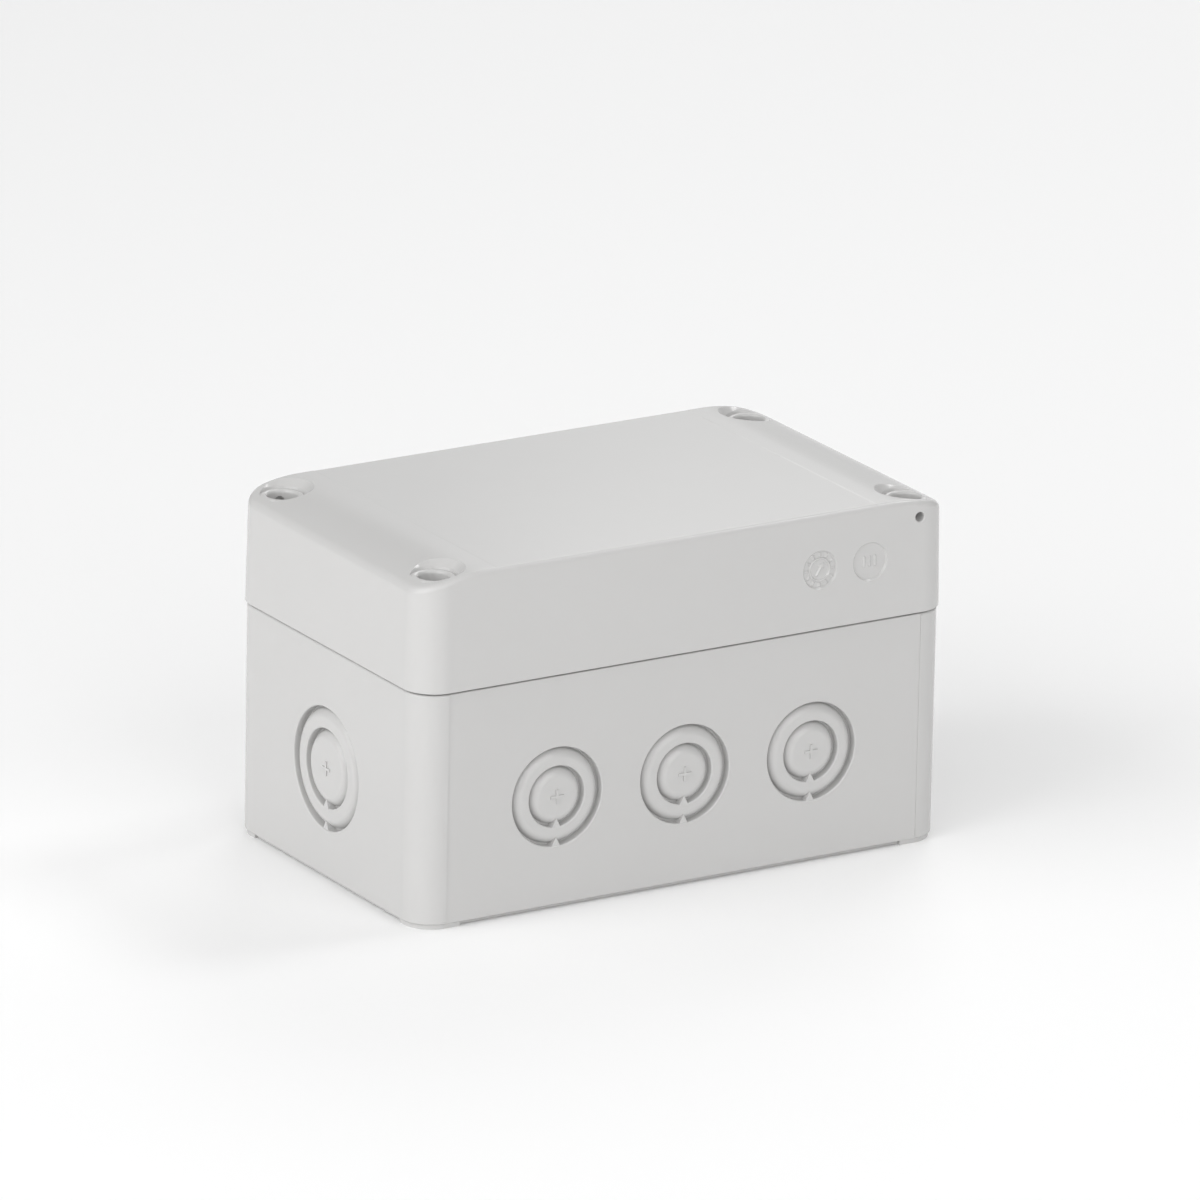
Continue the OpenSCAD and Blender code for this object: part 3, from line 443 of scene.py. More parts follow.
def round_edges(obj, chosen, width, segments=3):
    """Rounds the edges that chosen(edge) picks."""
    bm = bmesh.new()
    bm.from_mesh(obj.data)
    edges = [e for e in bm.edges if chosen(e)]
    bmesh.ops.bevel(
        bm, geom=edges, offset=width, offset_type="OFFSET", segments=segments,
        profile=0.5, affect="EDGES", clamp_overlap=True,
    )
    bm.to_mesh(obj.data)
    bm.free()


def smooth(obj, angle=32.0):
    """Smooth shading with sharp edges kept, weighted by the size of the faces."""
    mesh = obj.data
    mesh.polygons.foreach_set("use_smooth", [True] * len(mesh.polygons))
    mesh.set_sharp_from_angle(angle=math.radians(angle))
    modifier = obj.modifiers.new("shading", "WEIGHTED_NORMAL")
    modifier.keep_sharp = True
    modifier.weight = 80


def to_metres(obj):
    """Scales a finished mesh from millimetres to metres."""
    obj.data.transform(Matrix.Scale(MM, 4))
    obj.data.update()


def seat(obj, body, slot, material, *nodes):
    """Finishes a new piece: scale, shading, material, body and the frame nodes it stands for."""
    to_metres(obj)
    smooth(obj)
    obj.data.materials.clear()
    obj.data.materials.append(material)
    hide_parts(*nodes)
    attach(obj, body)


def dress(node, material, width=0.12, angle=35.0):
    """Gives a frame node its material and softly rounded edges."""
    weld_distance, flat_angle = 0.002, 0.6
    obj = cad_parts[node]
    obj.data.materials.clear()
    obj.data.materials.append(material)
    weld = obj.modifiers.new("weld", "WELD")
    weld.merge_threshold = weld_distance * MM
    flat = obj.modifiers.new("flat faces", "DECIMATE")
    flat.decimate_type = "DISSOLVE"
    flat.angle_limit = math.radians(flat_angle)
    bevel = obj.modifiers.new("edges", "BEVEL")
    bevel.width = width * MM
    bevel.segments = 2
    bevel.limit_method = "ANGLE"
    bevel.angle_limit = math.radians(angle)
    bevel.use_clamp_overlap = True
    shading = obj.modifiers.new("shading", "WEIGHTED_NORMAL")
    shading.weight = 80


# ---------- materials ----------


class Number:
    """A number on a shader socket. Sums on it add Math nodes."""

    def __init__(self, shader, socket):
        self.shader = shader
        self.socket = socket

    def sum_node(self, operation, first, second):
        """Adds a Math node and returns its result."""
        node = self.shader.node("ShaderNodeMath", {"operation": operation}, {0: first, 1: second})
        return Number(self.shader, node.outputs[0])

    def __add__(self, other):
        return self.sum_node("ADD", self, other)

    __radd__ = __add__

    def __sub__(self, other):
        return self.sum_node("SUBTRACT", self, other)

    def __rsub__(self, other):
        return self.sum_node("SUBTRACT", other, self)

    def __mul__(self, other):
        return self.sum_node("MULTIPLY", self, other)

    __rmul__ = __mul__

    def __gt__(self, other):
        return self.sum_node("GREATER_THAN", self, other)


class Shader:
    """A principled material and the nodes that vary it."""

    def __init__(self, name, **fixed):
        self.material = bpy.data.materials.new(name)
        self.material.use_nodes = True
        self.tree = self.material.node_tree
        self.surface = self.tree.nodes["Principled BSDF"]
        for socket, value in fixed.items():
            label = socket.replace("_", " ").title().replace("Ior", "IOR")
            self.surface.inputs[label].default_value = value

    def node(self, kind, settings=None, inputs=None):
        """Adds a node: its settings first, then the values or links of its sockets."""
        node = self.tree.nodes.new(kind)
        for name, value in (settings or {}).items():
            setattr(node, name, value)
        for key, value in (inputs or {}).items():
            self.feed(node.inputs[key], value)
        return node

    def feed(self, socket, value):
        """Sets or links one socket."""
        if isinstance(value, Number):
            self.tree.links.new(value.socket, socket)
        elif isinstance(value, bpy.types.NodeSocket):
            self.tree.links.new(value, socket)
        else:
            socket.default_value = value

    def place(self, scale=(1, 1, 1)):
        """The point on the piece, in metres times scale."""
        coords = self.node("ShaderNodeTexCoord")
        sockets = {"Vector": coords.outputs["Object"], "Scale": scale}
        mapped = self.node("ShaderNodeMapping", None, sockets)
        return mapped.outputs["Vector"]

    def axis(self, name):
        """One coordinate of the point on the piece."""
        split = self.node("ShaderNodeSeparateXYZ", None, {0: self.place()})
        return Number(self, split.outputs[name])

    def noise(self, per_metre, detail=3.0, roughness=0.55, stretch=(1, 1, 1)):
        """Smooth noise of so many features a metre, from 0 to 1."""
        node = self.node(
            "ShaderNodeTexNoise", None,
            {"Vector": self.place(stretch), "Scale": per_metre, "Detail": detail, "Roughness": roughness},
        )
        return Number(self, node.outputs[0])

    def blend(self, mask, first, second):
        """A colour between two, by a mask."""
        node = self.node("ShaderNodeMix", {"data_type": "RGBA"})
        self.feed(node.inputs["Factor"], mask)
        self.feed(node.inputs[6], first)
        self.feed(node.inputs[7], second)
        return node.outputs[2]

    def bump(self, height, micrometres):
        """Fine relief of so many micrometres."""
        node = self.node(
            "ShaderNodeBump", None, {"Height": height, "Distance": micrometres * 1e-6, "Strength": 1.0}
        )
        self.feed(self.surface.inputs["Normal"], node.outputs[0])

    def colour(self, socket):
        """Feeds the base colour."""
        self.feed(self.surface.inputs["Base Color"], socket)

    def roughness(self, number):
        """Feeds the roughness."""
        self.feed(self.surface.inputs["Roughness"], number)


def shade(rgb, factor):
    """A colour made lighter or darker, with alpha."""
    return tuple(min(1.0, c * factor) for c in rgb) + (1.0,)


def colours():
    """The scene's colour settings."""
    return bpy.context.scene.junction_box_colours


def once(build):
    """Keeps the material that build makes, so that pieces share it."""
    name = build.__name__

    def shared():
        found = bpy.data.materials.get(name)
        return found if found else build(name)

    return shared


@once
def lid_plastic(name):
    """Glossy moulded polycarbonate with a faint orange peel."""
    tint = colours().shell
    s = Shader(name, ior=1.52)
    drift = s.noise(28, 2.0)
    s.colour(s.blend(drift, shade(tint, 0.985), shade(tint, 1.015)))
    s.roughness(0.17 + 0.06 * s.noise(160, 3.0))
    s.bump(s.noise(420, 2.0), 3.0)
    return s.material


@once
def base_plastic(name):
    """The same plastic with a satin face and fine upright drag lines from the mould."""
    tint = colours().shell
    s = Shader(name, ior=1.52)
    drag = s.noise(2600, 2.0, 0.6, (1, 1, 0.012))
    drift = s.noise(28, 2.0)
    s.colour(s.blend(drift, shade(tint, 0.975), shade(tint, 1.005)))
    s.roughness(0.14 + 0.1 * drag)
    s.bump(0.6 * drag + 0.4 * s.noise(3200, 2.0), 3.5)
    return s.material


@once
def foam(name):
    """Closed foam rubber with small pores, with painted shade in the dips of its relief."""
    tint = colours().seal
    s = Shader(name, roughness=0.85, ior=1.45)
    pores = s.noise(5200, 4.0, 0.7)
    # Painted shade: the noise that raises the relief also paints its dips darker and its raised foam lighter
    s.colour(s.blend(pores, shade(tint, 0.6), shade(tint, 1.7)))
    s.bump(pores, 60.0)
    return s.material


@once
def ring_rubber(name):
    """Smooth moulded rubber with a dusty bloom."""
    tint = colours().seal
    s = Shader(name, ior=1.48)
    bloom = s.noise(900, 4.0)
    s.colour(s.blend(bloom, shade(tint, 0.8), shade(tint, 1.5)))
    s.roughness(0.5 + 0.2 * bloom)
    s.bump(s.noise(4000, 2.0), 6.0)
    return s.material


def metal(name, tint, rough, lines, streaks=2.0):
    """Metal with fine tool marks drawn out along one direction and a slightly uneven tint."""
    s = Shader(name, metallic=1.0)
    marks = s.noise(5200, 3.0, 0.65, lines)
    patches = s.noise(420, 3.0)
    s.colour(s.blend(patches, shade(tint, 0.86), shade(tint, 1.06)))
    s.roughness(rough + 0.14 * marks + 0.05 * patches)
    s.bump(marks, streaks)
    return s.material


@once
def screw_steel(name):
    """Turned steel."""
    return metal(name, colours().steel, 0.2, (1, 1, 0.15))


@once
def rail_zinc(name):
    """Rolled and galvanised steel."""
    return metal(name, colours().zinc, 0.26, (0.03, 1, 1), 3.0)


@once
def cage_zinc(name):
    """Galvanised steel."""
    return metal(name, colours().zinc, 0.3, (1, 1, 0.1), 3.0)


@once
def turned_brass(name):
    """Turned brass."""
    return metal(name, colours().brass, 0.22, (0.2, 0.2, 3.0))


@once
def rolled_copper(name):
    """Rolled copper."""
    return metal(name, colours().copper, 0.28, (1, 0.03, 1))


def moulded(name, tint, rough=0.48, relief=9.0):
    """Matt moulded polyamide with spark-eroded grain."""
    s = Shader(name, ior=1.5)
    grain = s.noise(3400, 3.0, 0.6)
    drift = s.noise(120, 2.0)
    s.colour(s.blend(drift, shade(tint, 0.93), shade(tint, 1.05)))
    s.roughness(rough + 0.12 * grain)
    s.bump(grain, relief)
    return s.material


@once
def terminal_grey(name):
    """Grey housings."""
    return moulded(name, colours().terminal)


@once
def neutral_blue(name):
    """The blue housing."""
    return moulded(name, colours().neutral)


@once
def tag_white(name):
    """The blank tags."""
    return moulded(name, colours().tag, 0.4, 5.0)


@once
def earth_two_tone(name):
    """Green housing with yellow shoulders."""
    shoulder_y = 12.5
    c = colours()
    s = Shader(name, ior=1.5)
    grain = s.noise(3400, 3.0, 0.6)
    across = s.axis("Y")
    yellow = (across * across) > (shoulder_y * MM) ** 2
    drift = s.noise(120, 2.0)
    green = s.blend(drift, shade(c.earth_green, 0.93), shade(c.earth_green, 1.06))
    gold = s.blend(drift, shade(c.earth_yellow, 0.95), shade(c.earth_yellow, 1.03))
    s.colour(s.blend(yellow, green, gold))
    s.roughness(0.46 + 0.12 * grain)
    s.bump(grain, 9.0)
    return s.material


# ---------- the base ----------


def knockout_profile(f, ring, core):
    """Section of what one knockout takes out of the wall: (radius, depth into the wall)."""
    ring_r, core_r = ring / 2, core / 2
    top, floor = f.face_sink, f.face_sink + f.groove_depth
    steps, corner, clear, reach = 10, 0.1, 0.02, 1.0

    def groove(radius):
        inner = radius - f.groove_floor - f.shoulder
        shoulder = []
        for step in range(steps + 1):
            t = step / steps
            dome = (t * t + 1 - math.sqrt(1 - t * t)) / 2
            shoulder.append((inner + f.shoulder * t, top + f.groove_depth * dome))
        return shoulder + [(radius - corner, floor), (radius, floor - corner)]

    def rounded_rim(radius, face):
        turns = [math.radians(angle) for angle in range(0, 91, 18)]
        return [
            (radius + f.groove_rim * (1 - math.cos(turn)), face + f.groove_rim * (1 - math.sin(turn)))
            for turn in turns
        ]

    outside = ring_r + f.groove_rim + clear
    profile = [(0, top)] + groove(core_r) + rounded_rim(core_r, top)
    profile += groove(ring_r) + rounded_rim(ring_r, 0)
    return profile + [(outside, -clear), (outside, -reach)]


def knockout_places(s, f):
    """Each knockout: its place matrix (local Z into the wall, local Y down), ring and core diameters."""
    for side in (-1, 1):
        spin = Matrix.Rotation(0 if side < 0 else math.pi, 4, "Z")
        face = -s.base_y + s.side_panel_sink
        for step in (-1, 0, 1):
            at = Matrix.Translation((step * f.knockout_pitch, face, f.knockout_z))
            yield spin @ at @ Matrix.Rotation(math.radians(-90), 4, "X"), f.long_ring, f.long_core
        spin = Matrix.Rotation(math.radians(90 * side), 4, "Z")
        at = Matrix.Translation((0, -s.base_x, f.knockout_z))
        yield spin @ at @ Matrix.Rotation(math.radians(-90), 4, "X"), f.end_ring, f.end_core


def add_pointer(solid, place, f, radius):
    """A small wedge standing at the foot of a groove."""
    half, tip, root, drop = 0.95, 1.9, 0.3, 0.05
    outline = [(-half, root), (-half, 0), (0, -tip), (half, 0), (half, root)]
    top, floor = f.face_sink + drop, f.face_sink + f.groove_depth + root
    rings = [[place @ Vector((x, radius + y, z)) for x, y in outline] for z in (top, floor)]
    solid.loft(rings)


def add_cross(solid, place, f):
    """A small raised cross in the middle of a knockout."""
    height, taper = 0.3, 0.92
    rings = [
        [place @ Vector((x * k, y * k, z)) for x, y in cross_outline(1.6, 0.28)]
        for k, z in ((taper, f.face_sink - height), (1.0, f.face_sink + height))
    ]
    solid.loft(rings)


def breaking_groove(solid, place, s, diameter):
    """The ring that thins the wall behind a knockout."""
    width, depth, clear = 0.9, 0.7, 0.3
    outer, inner = diameter / 2, diameter / 2 - width
    near, far = s.wall - depth, s.wall + clear
    turns = [math.tau * i / 72 for i in range(72)]
    bands = []
    for radius, z in ((outer, near), (outer, far), (inner, far), (inner, near)):
        bands.append(solid.ring(
            place @ Vector((radius * math.cos(t), radius * math.sin(t), z)) for t in turns
        ))
    for low, high in zip(bands, bands[1:] + bands[:1]):
        solid.bridge(low, high)


def shell_rings(half_x, half_y, radius, low, high, low_edge, high_edge):
    """Rings of an upright shell with rounded lower and upper edges."""
    rings = []

    def add(inset, z):
        rings.append(at_height(rounded_outline(half_x - inset, half_y - inset, radius - inset), z))

    for step in range(6):
        turn = math.radians(18 * step)
        add(low_edge * (1 - math.sin(turn)), low + low_edge * (1 - math.cos(turn)))
    for step in range(6):
        turn = math.radians(18 * step)
        add(high_edge * (1 - math.cos(turn)), high - high_edge * (1 - math.sin(turn)))
    return rings


def hollow_base(obj, s):
    """Cuts the sealed space, the dry channels, their wall holes and the long sides' sunk panels."""
    floor_edge, above, through = 1.0, s.rim_z + 2, 0.5
    hole_r, below = s.mount_diameter / 2, s.foot_height - 1
    wall_hole = [
        (0, below), (hole_r, below), (hole_r, s.channel_z),
        (hole_r, s.channel_z + through), (0, s.channel_z + through),
    ]
    hollow = Solid()
    hollow.prism(seal_plan(s, 0), s.floor_z, above, floor_edge, lambda grow: seal_plan(s, grow))
    for sx, sy in CORNERS.values():
        plan = channel_plan(s, s.base_x, s.post_y_base)
        hollow.prism([(sx * x, sy * y) for x, y in plan], s.channel_z, above)
        hollow.lathe(wall_hole, (sx * s.mount_x, sy * s.mount_y, 0), 48)
    for side in (-1, 1):
        x = s.base_x - s.side_panel_inset
        low, high = sorted((side * (s.base_y - s.side_panel_sink), side * (s.base_y + 1)))
        hollow.block((-x, low, -1), (x, high, above))
    cut(obj, hollow, overlapping=True)


def add_feet(obj, s):
    """Adds the corner feet, then the rib under the base's edge."""
    foot_root, plinth_root = 0.9, 0.5
    feet = Solid()
    for sx, sy in CORNERS.values():
        x1, y1 = s.base_x - s.foot_inset, s.base_y - s.foot_inset
        radius = s.base_radius - s.foot_inset
        x0, y0 = s.base_x - s.foot_length, s.base_y - s.foot_width
        plan = arc(x1 - radius, y1 - radius, radius, 0, 90, 8) + [(x0, y1), (x0, y0), (x1, y0)]
        feet.prism([(sx * x, sy * y) for x, y in plan], 0, s.foot_height + foot_root)
    join(obj, feet)
    near, far = s.plinth_inset, s.plinth_inset + s.plinth_width
    low, high = s.plinth_gap, s.foot_height + plinth_root
    plinth = Solid()
    plinth.loft([
        at_height(rounded_outline(s.base_x - inset, s.base_y - inset, s.base_radius - inset), z)
        for inset, z in ((near, low), (near, high), (far, high), (far, low))
    ], caps=False)
    join(obj, plinth)


def add_knockouts(obj, s, f):
    """Cuts the knockouts, adds their pointers and crosses, and thins the wall behind them."""
    rings, raised, weak = Solid(), Solid(), Solid()
    for place, ring, core in knockout_places(s, f):
        rings.placed_lathe(knockout_profile(f, ring, core), place, 96)
        for diameter in (ring, core):
            add_pointer(raised, place, f, diameter / 2)
            breaking_groove(weak, place, s, diameter)
        add_cross(raised, place, f)
    cut(obj, rings)
    join(obj, raised)
    cut(obj, weak)


def add_seal_rib(obj, s):
    """Adds the rib that presses into the gasket."""
    root, edge = 0.5, 0.25
    low, high = s.rim_z - root, s.rib_z
    near = s.gasket_inset + (s.gasket_width - s.rib_width) / 2
    far = near + s.rib_width
    section = [
        (near, low), (near, high - edge), (near + edge, high),
        (far - edge, high), (far, high - edge), (far, low),
    ]
    rib = Solid()
    rib.loft([at_height(seal_plan(s, grow), z) for grow, z in section], caps=False)
    join(obj, rib)


def add_bosses(obj, s):
    """Adds the bosses under the rail, then drills them and the holes for the inserts."""
    rail_z = box_mm("din_rail")[0].z
    screws = box_mm("rail_screws")[1]
    boss_x = screws.x - screws.y
    boss_r, flare_r, edge, root = 4.5, 4.9, 0.25, 0.6
    boss = [
        (0, s.floor_z - root), (flare_r, s.floor_z - root), (flare_r, s.floor_z + 0.1),
        (boss_r, s.floor_z + 0.5), (boss_r, rail_z - edge), (boss_r - edge, rail_z), (0, rail_z),
    ]
    bosses = Solid()
    for side in (-1, 1):
        bosses.lathe(boss, (side * boss_x, 0, 0), 48)
    join(obj, bosses)

    insert_z, tip_r, chamfer = INSERT_LOW.z, 2.5, 0.15
    tip_z, mouth_r, above = insert_z - 2, INSERT_RADIUS + chamfer, s.rim_z + 1
    insert_hole = [
        (0, tip_z), (tip_r, tip_z), (tip_r, insert_z), (INSERT_RADIUS, insert_z),
        (INSERT_RADIUS, s.rim_z - chamfer), (mouth_r, s.rim_z), (mouth_r, above), (0, above),
    ]
    pilot_r, pilot_z = 1.8, 3.0
    pilot_hole = [(0, pilot_z), (pilot_r, pilot_z), (pilot_r, rail_z + 1), (0, rail_z + 1)]
    holes = Solid()
    for sx, sy in CORNERS.values():
        holes.lathe(insert_hole, (sx * s.screw_x, sy * s.screw_y, 0), 48)
    for side in (-1, 1):
        holes.lathe(pilot_hole, (side * boss_x, 0, 0), 32)
    cut(obj, holes)


def build_base():
    """The base shell with its feet, knockouts, sealed space, dry channels and rail bosses."""
    s = shell_sizes()
    f = in_mm(bpy.context.scene.junction_box_features)
    body = Solid()
    body.loft(shell_rings(
        s.base_x, s.base_y, s.base_radius, s.foot_height, s.rim_z, s.base_edge, s.rim_edge
    ))
    obj = body.piece("base_shell")
    hollow_base(obj, s)
    add_feet(obj, s)
    add_knockouts(obj, s, f)
    add_seal_rib(obj, s)
    add_bosses(obj, s)
    seat(obj, "base", "shell", base_plastic(), "base")


# ---------- the lid ----------


def roof_height(s, x):
    """Height of the lid's outside over a place along the box."""
    away = abs(x)
    fall = 0.0
    if away > s.level_x:
        fall = s.end_fall_radius - math.sqrt(s.end_fall_radius ** 2 - (away - s.level_x) ** 2)
    t = min(1.0, max(0.0, (away - s.panel_x + PANEL_SLOPE) / (2 * PANEL_SLOPE)))
    return s.top_z - fall - s.panel_sink * (1 - t * t * (3 - 2 * t))


def lid_outside(s):
    """The lid's outer surface: leaning sides, rounded top edge and falling ends."""
    right = [s.panel_x + step for step in (-PANEL_SLOPE, -0.1, 0.1, PANEL_SLOPE)]
    right += [s.level_x + step for step in range(8)]
    stations = [-x for x in right] + right
    solid = Solid()
    rings = []

    def add(inset, height_at, steps=16):
        plan = rounded_outline(
            s.lid_x - inset, s.lid_y - inset, s.corner_radius - inset, stations, steps
        )
        rings.append([(x, y, height_at(x)) for x, y in plan])

    for step in range(5):
        turn = math.radians(22.5 * step)
        z = s.lid_z + s.lid_rim_edge * (1 - math.cos(turn))
        add(s.lid_rim_edge * (1 - math.sin(turn)), lambda x, z=z: z)
    side_height = s.top_z - s.lid_z
    for step in range(9):
        turn = math.radians(11.25 * step)
        drop = s.top_edge * (1 - math.sin(turn))
        inset = (side_height - drop) * LEAN + s.top_edge * (1 - math.cos(turn))
        add(inset, lambda x, drop=drop: roof_height(s, x) - drop)
    made = [solid.ring(points) for points in rings]
    for low, high in zip(made, made[1:]):
        solid.bridge(low, high)
    solid.face(list(reversed(made[0])))
    close_roof(solid, made[-1])
    return solid


def close_roof(solid, ring):
    """Fills the top ring with strips that run from front to back."""

    def order(v):
        # At each end several points share an X, and follow each other in Y
        return (round(v.co.x, 6), abs(v.co.y) if v.co.x < 0 else -abs(v.co.y))

    back = sorted((v for v in ring if v.co.y > 0), key=order)
    front = sorted((v for v in ring if v.co.y <= 0), key=order)
    for i in range(len(back) - 1):
        solid.face([front[i], front[i + 1], back[i + 1], back[i]])


def well_profile(s, f):
    """Section of a screw well, the collar at its mouth and the pocket round it, upwards."""
    floor = s.top_z - f.pocket_depth
    well = f.well_diameter / 2
    foot = well + f.pocket_ledge
    collar, moat = 0.2, 0.1
    step_r, step_h = 0.12, 0.5
    slope = (f.pocket_flare - step_r) / (f.pocket_depth - step_h)
    below, above = s.lid_z - 1, 1.0
    recess, shank = f.recess_diameter / 2, f.web_hole / 2
    return [
        (0, below), (recess, below), (recess, f.web_bottom), (shank, f.web_bottom),
        (shank, f.web_top), (well, f.web_top),
        (well, floor - 0.5), (well + 0.05, floor - 0.2), (well + 0.2, floor + 0.06),
        (well + 0.45, floor + collar),
        (foot - 0.6, floor + collar), (foot - 0.38, floor + 0.1), (foot - 0.28, floor - moat),
        (foot, floor - moat), (foot + step_r, floor + step_h),
        (foot + f.pocket_flare + slope * above, s.top_z + above), (0, s.top_z + above),
    ]


def is_pocket_rim(s, f):
    """A test for the edges where a pocket's wall meets the lid's roof."""
    spots = [Vector((sx * s.screw_x, sy * s.screw_y)) for sx, sy in CORNERS.values()]
    floor = s.top_z - f.pocket_depth
    foot = f.well_diameter / 2 + f.pocket_ledge
    sharp = math.radians(16)
    nearest, furthest, lowest = foot - 0.4, foot + f.pocket_flare + 0.3, floor - 0.6

    def test(edge):
        if not edge.is_manifold or edge.calc_face_angle() < sharp:
            return False
        for vert in edge.verts:
            spread = min((vert.co.xy - spot).length for spot in spots)
            if spread < nearest or spread > furthest or vert.co.z < lowest:
                return False
        return True

    return test


def hollow_lid(obj, s):
    """Cuts the sealed space, the dry channels, the level roof's extra height and the gasket's groove."""
    fall_x = s.cavity_x - s.level_x
    roof_z = s.top_z - s.roof
    end_roof = roof_z - (s.end_fall_radius - math.sqrt(s.end_fall_radius ** 2 - fall_x ** 2))
    below, chamfer, edge, mid_edge = s.lid_z - 1, 0.25, 1, 0.3
    space = (
        (chamfer, below), (chamfer, s.lid_z), (0, s.lid_z + chamfer), (0, end_roof - edge),
        (-mid_edge, end_roof - mid_edge), (-edge, end_roof),
    )
    hollow = Solid()
    hollow.loft([at_height(seal_plan(s, grow), z) for grow, z in space])
    for sx, sy in CORNERS.values():
        plan = channel_plan(s, s.lid_x, s.post_y_lid)
        hollow.prism([(sx * x, sy * y) for x, y in plan], below, end_roof)
    cut(obj, hollow)

    raised = Solid()
    raised.loft([
        at_height(rounded_outline(s.level_x - inset, s.cavity_y - inset, s.cavity_radius, (), 8), z)
        for inset, z in ((0, end_roof - 3), (0, roof_z - edge), (mid_edge, roof_z - mid_edge), (edge, roof_z))
    ])
    cut(obj, raised)

    near, far = s.gasket_inset, s.gasket_inset + s.gasket_width
    top = s.lid_z + s.groove_height
    groove = Solid()
    groove.loft([
        at_height(seal_plan(s, grow), z) for grow, z in ((near, below), (near, top), (far, top), (far, below))
    ], caps=False)
    cut(obj, groove)


def cut_wire_holes(obj, s, f):
    """Cuts the two holes for a sealing wire, from a screw well out through the lid's long side."""
    radius, chamfer = f.wire_hole / 2, 0.2
    z = s.top_z - f.wire_hole_drop
    face = s.lid_y - s.screw_y - (z - s.lid_z) * LEAN
    profile = [
        (0, 0), (radius, 0), (radius, face - 0.18), (radius + chamfer, face + 0.03),
        (radius + chamfer, face + 2), (0, face + 2),
    ]
    holes = Solid()
    for turn in (1, -1):
        side = Matrix.Rotation(math.radians(90 * turn), 4, "X")
        at = Matrix.Translation((turn * (s.lid_x - f.wire_hole_inset), -turn * s.screw_y, z))
        holes.placed_lathe(profile, at @ side, 40)
    cut(obj, holes)


def build_lid():
    """The lid with its wells, gasket groove, hollow, marks and sealing wire holes."""
    s = shell_sizes()
    f = in_mm(bpy.context.scene.junction_box_features)
    obj = lid_outside(s).piece("lid_shell")
    wells = Solid()
    for sx, sy in CORNERS.values():
        wells.lathe(well_profile(s, f), (sx * s.screw_x, sy * s.screw_y, 0), 96)
    cut(obj, wells)
    round_edges(obj, is_pocket_rim(s, f), f.pocket_rim)
    hollow_lid(obj, s)
    cut_wire_holes(obj, s, f)
    cut_marks(obj, s, f)
    seat(obj, "lid", "shell", lid_plastic(), "lid")


def mark_place(s, f, inset):
    """Place of a round mark: local Z points into the lid's front face, local Y down."""
    back = (f.mark_z - s.lid_z) * LEAN
    at = Matrix.Translation((s.lid_x - inset, -s.lid_y + back, f.mark_z))
    return at @ Matrix.Rotation(math.radians(-90 - DRAFT), 4, "X")


def relief_cutter(solid, place, radius, depth_at, bevel, segments=96, rings=40):
    """A round cutter whose end carries a relief: depth_at(x, y) is its depth below the face."""
    turns = [math.tau * i / segments for i in range(segments)]
    centre = solid.bm.verts.new(place @ Vector((0, 0, depth_at(0, 0))))
    bands = [[centre] * segments]
    for step in range(1, rings + 1):
        away = radius * step / rings
        spots = [(away * math.cos(turn), away * math.sin(turn)) for turn in turns]
        bands.append(solid.ring(place @ Vector((x, y, depth_at(x, y))) for x, y in spots))
    for away, depth in ((radius + bevel, -0.02), (radius + bevel, -1.0)):
        bands.append(solid.ring(
            place @ Vector((away * math.cos(turn), away * math.sin(turn), depth)) for turn in turns
        ))
    for low, high in zip(bands, bands[1:]):
        solid.bridge_poles(low, high)
    solid.face(bands[-1])


def within(value, half, soft):
    """1 where value is nearer to zero than half, 0 beyond, with a soft slope."""
    return min(1.0, max(0.0, (half + soft / 2 - abs(value)) / soft))


def cut_marks(obj, s, f):
    """The dial and the disc on the front of the lid, with plain ticks, arrow and bars."""
    radius = f.mark_diameter / 2 - f.mark_bevel
    core = f.dial_core / 2
    slope, line, ticks, tick_half, rim_half = 0.2, 0.2, 12, 0.42, 0.18
    lean, shaft_half, tip, head_long, head_half = math.radians(58), 1.3, 1.75, 1.1, 0.75
    bar_half, bar_pitch, bar_reach = 0.22, 1.3, 1.1

    def dial_depth(x, y):
        away, turn = math.hypot(x, y), math.atan2(y, x)
        sector = math.tau / ticks
        off = (turn + sector / 2) % sector - sector / 2
        tick = within(off * away, line, slope)
        tick *= within(away - 0.5 * (core + radius) - 0.1, tick_half, slope)
        rim = within(away - core, rim_half, slope)
        along = x * math.cos(lean) - y * math.sin(lean)
        side = x * math.sin(lean) + y * math.cos(lean)
        shaft = within(side, line, slope) * within(along + 0.2, shaft_half, slope)
        head = within(side, head_half * (tip - along) / head_long, slope)
        head *= within(along - tip + head_long / 2, head_long / 2, slope)
        return f.mark_depth - f.mark_relief * max(tick, rim, shaft, head)

    def disc_depth(x, y):
        bars = max(within(x - offset, bar_half, slope) for offset in (-bar_pitch, 0.0, bar_pitch))
        return f.mark_depth - f.mark_relief * bars * within(y, bar_reach, slope)

    sunk = Solid()
    relief_cutter(sunk, mark_place(s, f, f.dial_inset), radius, dial_depth, f.mark_bevel)
    relief_cutter(sunk, mark_place(s, f, f.bar_inset), radius, disc_depth, f.mark_bevel)
    cut(obj, sunk)


# ---------- seals ----------


def build_gasket():
    """The foam gasket, with rounded edges and the dent that the rib leaves."""
    s = shell_sizes()
    low, high = GASKET_LOW.z, GASKET_HIGH.z
    clear, edge, soft = 0.02, 0.2, 0.3
    inner, outer = s.gasket_inset + clear, s.gasket_inset + s.gasket_width - clear
    middle, dent = (inner + outer) / 2, 0.35
    section = [
        (inner, low + soft), (inner, high - edge), (inner + edge, high), (outer - edge, high),
        (outer, high - edge), (outer, low + soft), (outer - 0.12, low + 0.08), (outer - soft, low),
        (middle + dent, low + 0.02), (middle, low + 0.06), (middle - dent, low + 0.02),
        (inner + soft, low), (inner + 0.12, low + 0.08),
    ]
    solid = Solid()
    solid.loft([at_height(seal_plan(s, grow, 12), z) for grow, z in section], caps=False)
    seat(solid.piece("gasket"), "lid", "seal", foam(), "lid_gasket")


